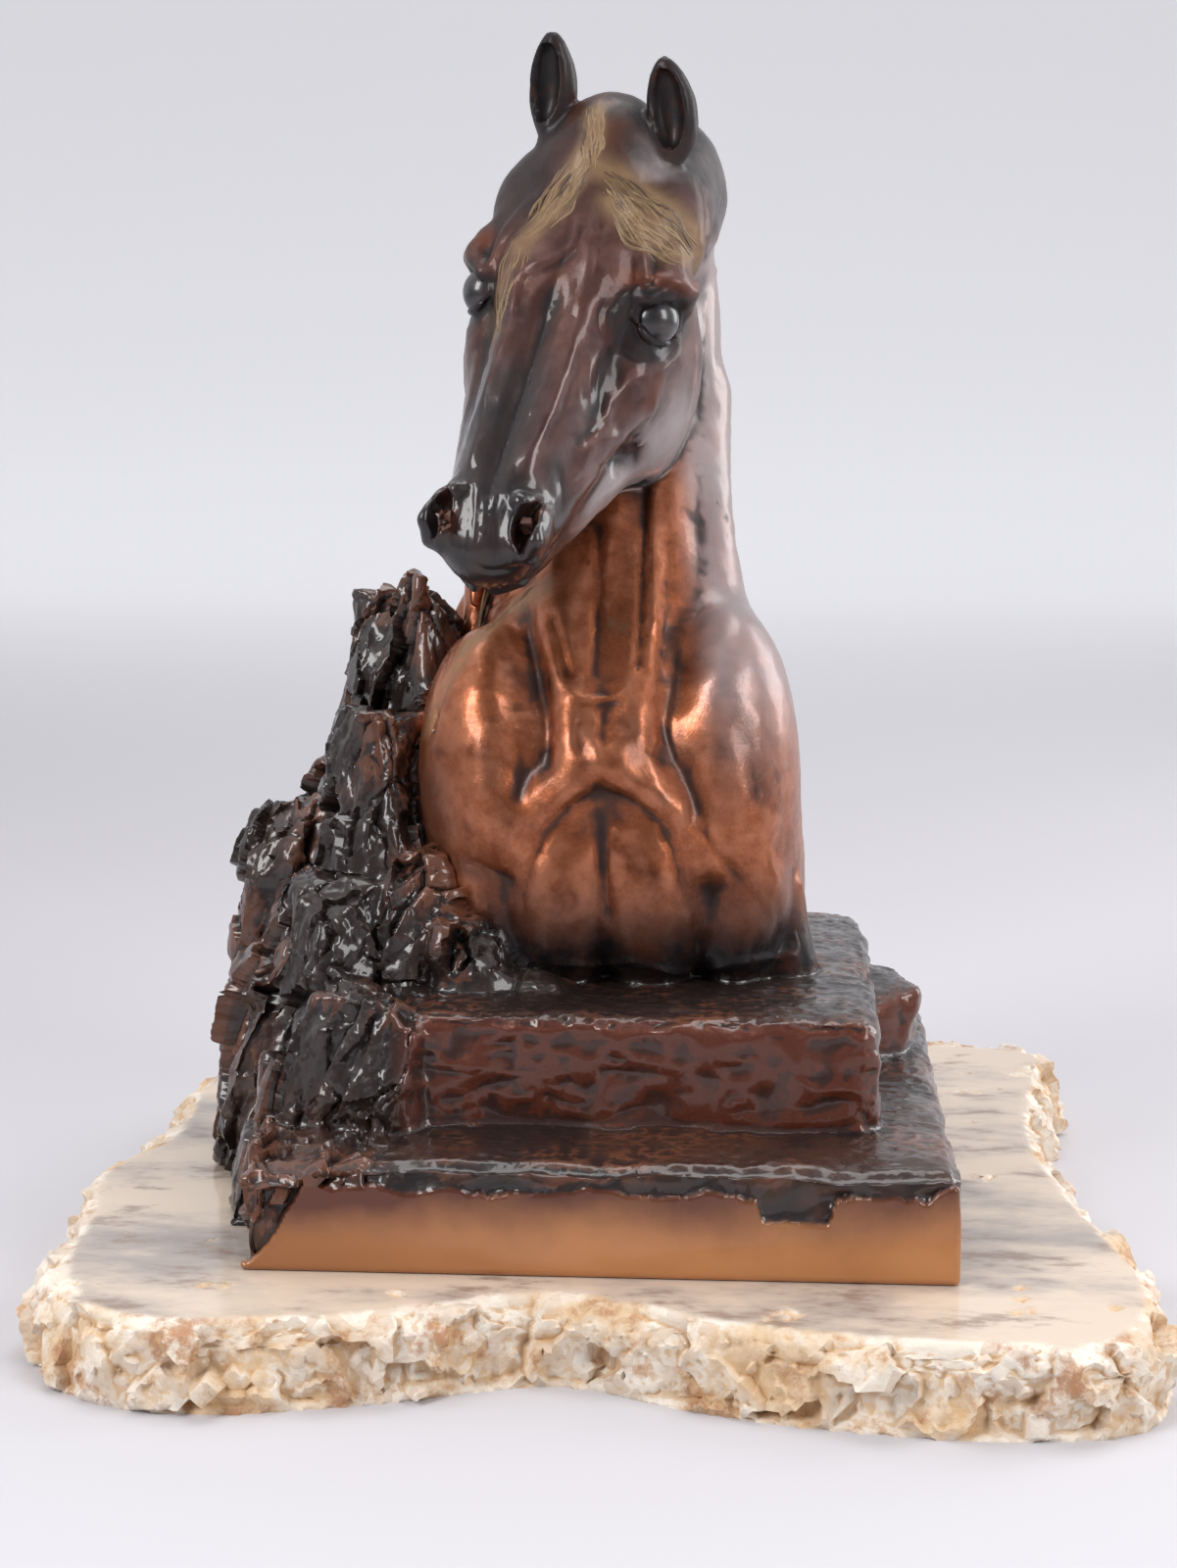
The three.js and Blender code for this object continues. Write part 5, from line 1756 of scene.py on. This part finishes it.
CHEST_STROKES = [
    # The windpipe's edges and the folds beside it.
    Stroke(-0.9, 2.4, [(612, 525), (611, 580), (610, 640), (606, 700)]),
    Stroke(-1.0, 2.0, [(658, 488), (657, 560), (655, 620), (652, 690)]),
    Stroke(0.9, 2.6, [(668, 488), (667, 560), (666, 650)]),
    Stroke(-0.7, 2.6, [(682, 488), (684, 560), (680, 640), (670, 710)]),
    Stroke(0.8, 4.0, [(700, 520), (702, 600), (694, 680)]),
    Stroke(0.9, 3.0, [(549, 625), (560, 665), (574, 708)]),
    Stroke(-0.9, 2.4, [(560, 620), (572, 660), (582, 700)]),
    Stroke(-0.9, 3.0, [(536, 640), (552, 700), (560, 747), (557, 800)]),
    # The notch above the breastbone, and the folds that run out from it.
    Stroke(0.7, 1.6, [(576, 706), (590, 712), (604, 715), (622, 713), (642, 706)]),
    Stroke(-0.8, 2.4, [(592, 724), (590, 750), (596, 780)]),
    Stroke(-1.0, 3.4, [(632, 722), (642, 745), (652, 775)]),
    Stroke(0.9, 2.4, [(605, 718), (608, 760), (613, 798)]),
    Stroke(-0.9, 2.2, [(611, 806), (580, 827), (557, 853), (540, 887), (532, 920), (537, 950)]),
    Stroke(-0.9, 2.2, [(614, 806), (647, 820), (673, 840), (687, 867), (693, 893), (707, 933), (713, 975)]),
    Stroke(-1.5, 2.6, [(613, 820), (615, 880), (617, 910), (621, 945)]),
    Stroke(0.8, 3.2, [(604, 792), (572, 812), (546, 842), (526, 884)]),
    Stroke(0.8, 3.2, [(626, 792), (662, 806), (692, 832), (704, 872)]),
    # Shoulders.
    Stroke(1.3, 6.5, [(500, 720), (492, 780), (500, 850)]),
    Stroke(-0.9, 4.0, [(524, 700), (528, 770), (532, 830)]),
    Stroke(-0.9, 2.6, [(462, 876), (490, 884), (513, 893), (534, 908)]),
    Stroke(-1.0, 3.2, [(673, 727), (700, 793), (713, 840)]),
    Stroke(1.1, 4.5, [(722, 760), (732, 810), (736, 850)]),
    Stroke(1.0, 3.2, [(660, 760), (670, 800), (690, 830)]),
    Stroke(-1.1, 3.6, [(752, 730), (768, 780), (778, 826)]),
    Stroke(-0.9, 2.6, [(710, 838), (740, 880), (773, 920), (790, 945)]),
    Stroke(1.0, 4.5, [(776, 850), (786, 890), (800, 920)]),
    Stroke(-0.8, 2.2, [(790, 912), (796, 945), (794, 970)]),
    Stroke(0.7, 2.2, [(806, 930), (812, 955), (820, 975)]),
    Stroke(0.9, 1.5, [(556, 982), (600, 985), (647, 981), (687, 993), (713, 990), (780, 978), (816, 973)]),
    *[
        Stroke(-0.6, 1.1, [
            (560 - n * 10, 584 + n * 2), (520 - n * 10, 620), (480 - n * 5, 660), (454 - n * 2, 705),
            (440, 750),
        ])
        for n in range(5)
    ],
]

GOLD_STROKES = [
    Stroke(1.0, 4.2, [(607, 112), (606, 140), (602, 168)]),
    Stroke(0.8, 5.0, [(596, 160), (582, 188), (566, 210), (545, 234), (530, 250)]),
    Stroke(0.55, 4.0, [(530, 250), (518, 276), (508, 306), (504, 344)]),
    Stroke(0.9, 6.0, [(620, 176), (650, 196), (684, 218), (714, 246)]),
    Stroke(0.9, 6.5, [(628, 206), (652, 230), (682, 250), (712, 266)]),
    Stroke(0.75, 5.0, [(560, 596), (520, 622), (480, 655), (452, 700)]),
    Stroke(0.55, 3.6, [(452, 700), (436, 745)]),
]

DARK_STROKES = [
    Stroke(0.95, 4.6, [(628, 320), (640, 306), (655, 298), (678, 297), (700, 310)]),
    Stroke(0.85, 4.0, [(628, 330), (638, 352), (660, 366), (688, 356), (700, 330)]),
    Stroke(0.85, 5.0, [(480, 280), (482, 322)]),
    Stroke(0.8, 9.0, [(632, 100), (640, 128), (650, 150)]),
    Stroke(0.6, 8.0, [(562, 150), (530, 190), (505, 222)]),
    Stroke(0.6, 9.0, [(545, 370), (520, 440)]),
    Stroke(0.55, 7.0, [(668, 200), (700, 232)]),
    Stroke(0.8, 7.0, [(565, 478), (570, 520), (560, 560)]),
    # Painted shade along the chest's creases and beside its ridges
    Stroke(0.5, 5.0, [(614, 905), (618, 950)]),
    Stroke(0.45, 5.0, [(640, 735), (650, 770)]),
    Stroke(0.4, 4.0, [(590, 730), (596, 775)]),
    Stroke(0.6, 5.0, [(470, 884), (500, 896), (528, 915)]),
    Stroke(0.4, 5.0, [(690, 760), (712, 835)]),
    Stroke(0.45, 6.0, [(756, 740), (776, 810)]),
    Stroke(0.4, 5.0, [(548, 700), (558, 790)]),
]

WARM_STROKES = [
    Stroke(0.9, 3.0, [(640, 285), (676, 286), (706, 296)]),
    Stroke(0.9, 4.0, [(474, 236), (494, 242)]),
    Stroke(0.9, 4.5, [(548, 522), (538, 540), (528, 556)]),
    Stroke(0.8, 4.0, [(457, 505), (456, 535)]),
    Stroke(0.7, 4.0, [(672, 392), (664, 410)]),
    Stroke(0.6, 4.0, [(585, 118), (596, 100)]),
]

VERDIGRIS_STROKES = [
    Stroke(0.8, 1.4, [(622, 634), (632, 640)]),
    Stroke(0.6, 1.0, [(634, 628), (638, 646)]),
]

FORELOCK = [
    Lock([(597, 110), (596, 140), (590, 172)], [(620, 112), (618, 140), (612, 174)], 12, 0.8),
    Lock(
        [(596, 150), (567, 180), (540, 220), (520, 247)],
        [(606, 168), (595, 187), (580, 220), (552, 240)], 18, 0.75),
    Lock(
        [(524, 244), (510, 278), (505, 313), (506, 347)],
        [(545, 250), (533, 280), (520, 303), (510, 345)], 12, 0.65),
    Lock(
        [(614, 164), (660, 197), (687, 213), (718, 262)],
        [(614, 200), (634, 240), (662, 262), (706, 280)], 34, 0.8),
]


# Stage


@dataclass(frozen=True)
class Studio:
    """A pale floor and soft light, with sizes in metres."""

    half_width: float = 7.0
    front: float = -6.0
    back: float = 2.6
    bend: float = 2.4
    top: float = 7.0
    floor_tone: tuple[float, ...] = tone(0.56, 0.545, 0.57)
    wall_tone: tuple[float, ...] = tone(0.86, 0.86, 0.88)
    sky_tone: tuple[float, ...] = tone(0.95, 0.96, 1.0)
    near_tone: tuple[float, ...] = tone(0.2, 0.2, 0.22)
    glow: float = 0.4
    sky_strength: float = 1.0

    def build(self) -> None:
        """Makes the paper sweep, the world and the lamps."""
        self._sweep()
        world = bpy.data.worlds.new("soft_room")
        world.use_nodes = True
        back = world.node_tree.nodes["Background"]
        graph = Graph(world.node_tree)
        place = graph.add("ShaderNodeTexCoord").outputs["Generated"]
        depth = graph.add("ShaderNodeSeparateXYZ", {"Vector": place}).outputs["Y"]
        sky = graph.mix(graph.step(depth, -0.55, 0.45), self.near_tone, self.sky_tone)
        graph.feed(back, {"Color": sky, "Strength": self.sky_strength})
        bpy.context.scene.world = world
        self._lamp("left_softbox", (-0.95, -0.85, 1.0), (0.0, 0.0, 0.24), (0.5, 0.8), 15.0)
        self._lamp("right_softbox", (1.05, -0.75, 0.85), (0.0, 0.0, 0.26), (0.5, 0.9), 11.0)
        self._lamp("rim_softbox", (1.2, 0.7, 0.75), (0.0, 0.0, 0.3), (0.6, 1.1), 9.0)
        self._lamp("high_softbox", (0.0, 0.3, 1.8), (0.0, 0.0, 0.2), (1.0, 0.9), 10.0)

    def _sweep(self) -> None:
        """Makes the pale floor, which bends up softly into the background."""
        profile = [(self.front, 0.0)]
        for turn in np.linspace(0.0, math.pi / 2, 25):
            profile.append((self.back + self.bend * math.sin(turn), self.bend * (1 - math.cos(turn))))
        profile.append((self.back + self.bend, self.top))
        sweep = bmesh.new()
        rows = [[sweep.verts.new((side * self.half_width, y, z)) for side in (-1, 1)] for y, z in profile]
        for (a, b), (c, d) in zip(rows, rows[1:]):
            sweep.faces.new((a, b, d, c))
        mesh = bpy.data.meshes.new("sweep")
        sweep.to_mesh(mesh)
        sweep.free()
        mesh.shade_smooth()
        ground = new_object("sweep", mesh)
        material, graph, shader, place = new_material("pale_sweep")
        depth = graph.add("ShaderNodeSeparateXYZ", {"Vector": place}).outputs["Y"]
        toned = graph.mix(graph.step(depth, 0.3, 3.2), self.floor_tone, self.wall_tone)
        faint = graph.mix(graph.times(graph.noise(place, 3.0), 0.04), toned, tone(0.6, 0.6, 0.62))
        glow = graph.mix(graph.step(depth, 0.6, 3.4), tone(0.0, 0.0, 0.0), self.wall_tone)
        graph.feed(shader, {
            "Base Color": faint, "Roughness": 0.7, "Emission Color": glow, "Emission Strength": self.glow,
        })
        mesh.materials.append(material)

    @staticmethod
    def _lamp(
        name: str,
        place: tuple[float, float, float],
        target: tuple[float, float, float],
        size: tuple[float, float],
        power: float,
    ) -> None:
        """Makes one soft lamp.

        Args:
            name: The lamp's name.
            place: Where it hangs.
            target: What it points at.
            size: Its width and height.
            power: Its power in watts.
        """
        data = bpy.data.lights.new(name, "AREA")
        data.shape = "RECTANGLE"
        data.size, data.size_y = size
        data.energy = power
        lamp = new_object(name, data)
        lamp.location = place
        lamp.rotation_mode = "QUATERNION"
        lamp.rotation_quaternion = (Vector(target) - Vector(place)).to_track_quat("-Z", "Y")


def dress(obj: bpy.types.Object, material: bpy.types.Material, node: str | None = None) -> None:
    """Gives a piece its finish and its body, and hides the solid that it stands for.

    Args:
        obj: The piece.
        material: Its finish.
        node: The solid that it stands for, if any.
    """
    obj.data.materials.clear()
    obj.data.materials.append(material)
    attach(obj, "root")
    if node:
        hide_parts(node)
    LOG.info("%s: %d faces", obj.name, len(obj.data.polygons))


def main() -> None:
    """Builds the object's pieces in order, then the stage."""
    logging.basicConfig(level=logging.INFO, format="%(message)s")
    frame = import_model()
    effects = Effects()
    view = Viewpoint()
    horse = HorseForm()
    casting = Casting(horse, view)
    bronze = casting.build(frame["nodes"]["bronze_casting"])
    dress(bronze, BronzePatinaAndPaintedLight().material(effects), "bronze_casting")
    hair = Hair(casting.surface, horse, view)
    ochre = CastHair().material(effects)
    dress(hair.forelock(FORELOCK), ochre)
    dress(hair.mane(110), ochre)
    gloss = EyeGloss().material(effects)
    for eye in Eyes(horse).build():
        dress(eye, gloss)
    stone = Slab().build(frame["nodes"]["stone_slab"])
    dress(stone, SlabStone().material(effects), "stone_slab")
    Studio().build()
    view.camera()
    settings = bpy.context.scene.view_settings
    settings.view_transform = "Standard"
    settings.look = "None"


if __name__ == "__main__":
    main()
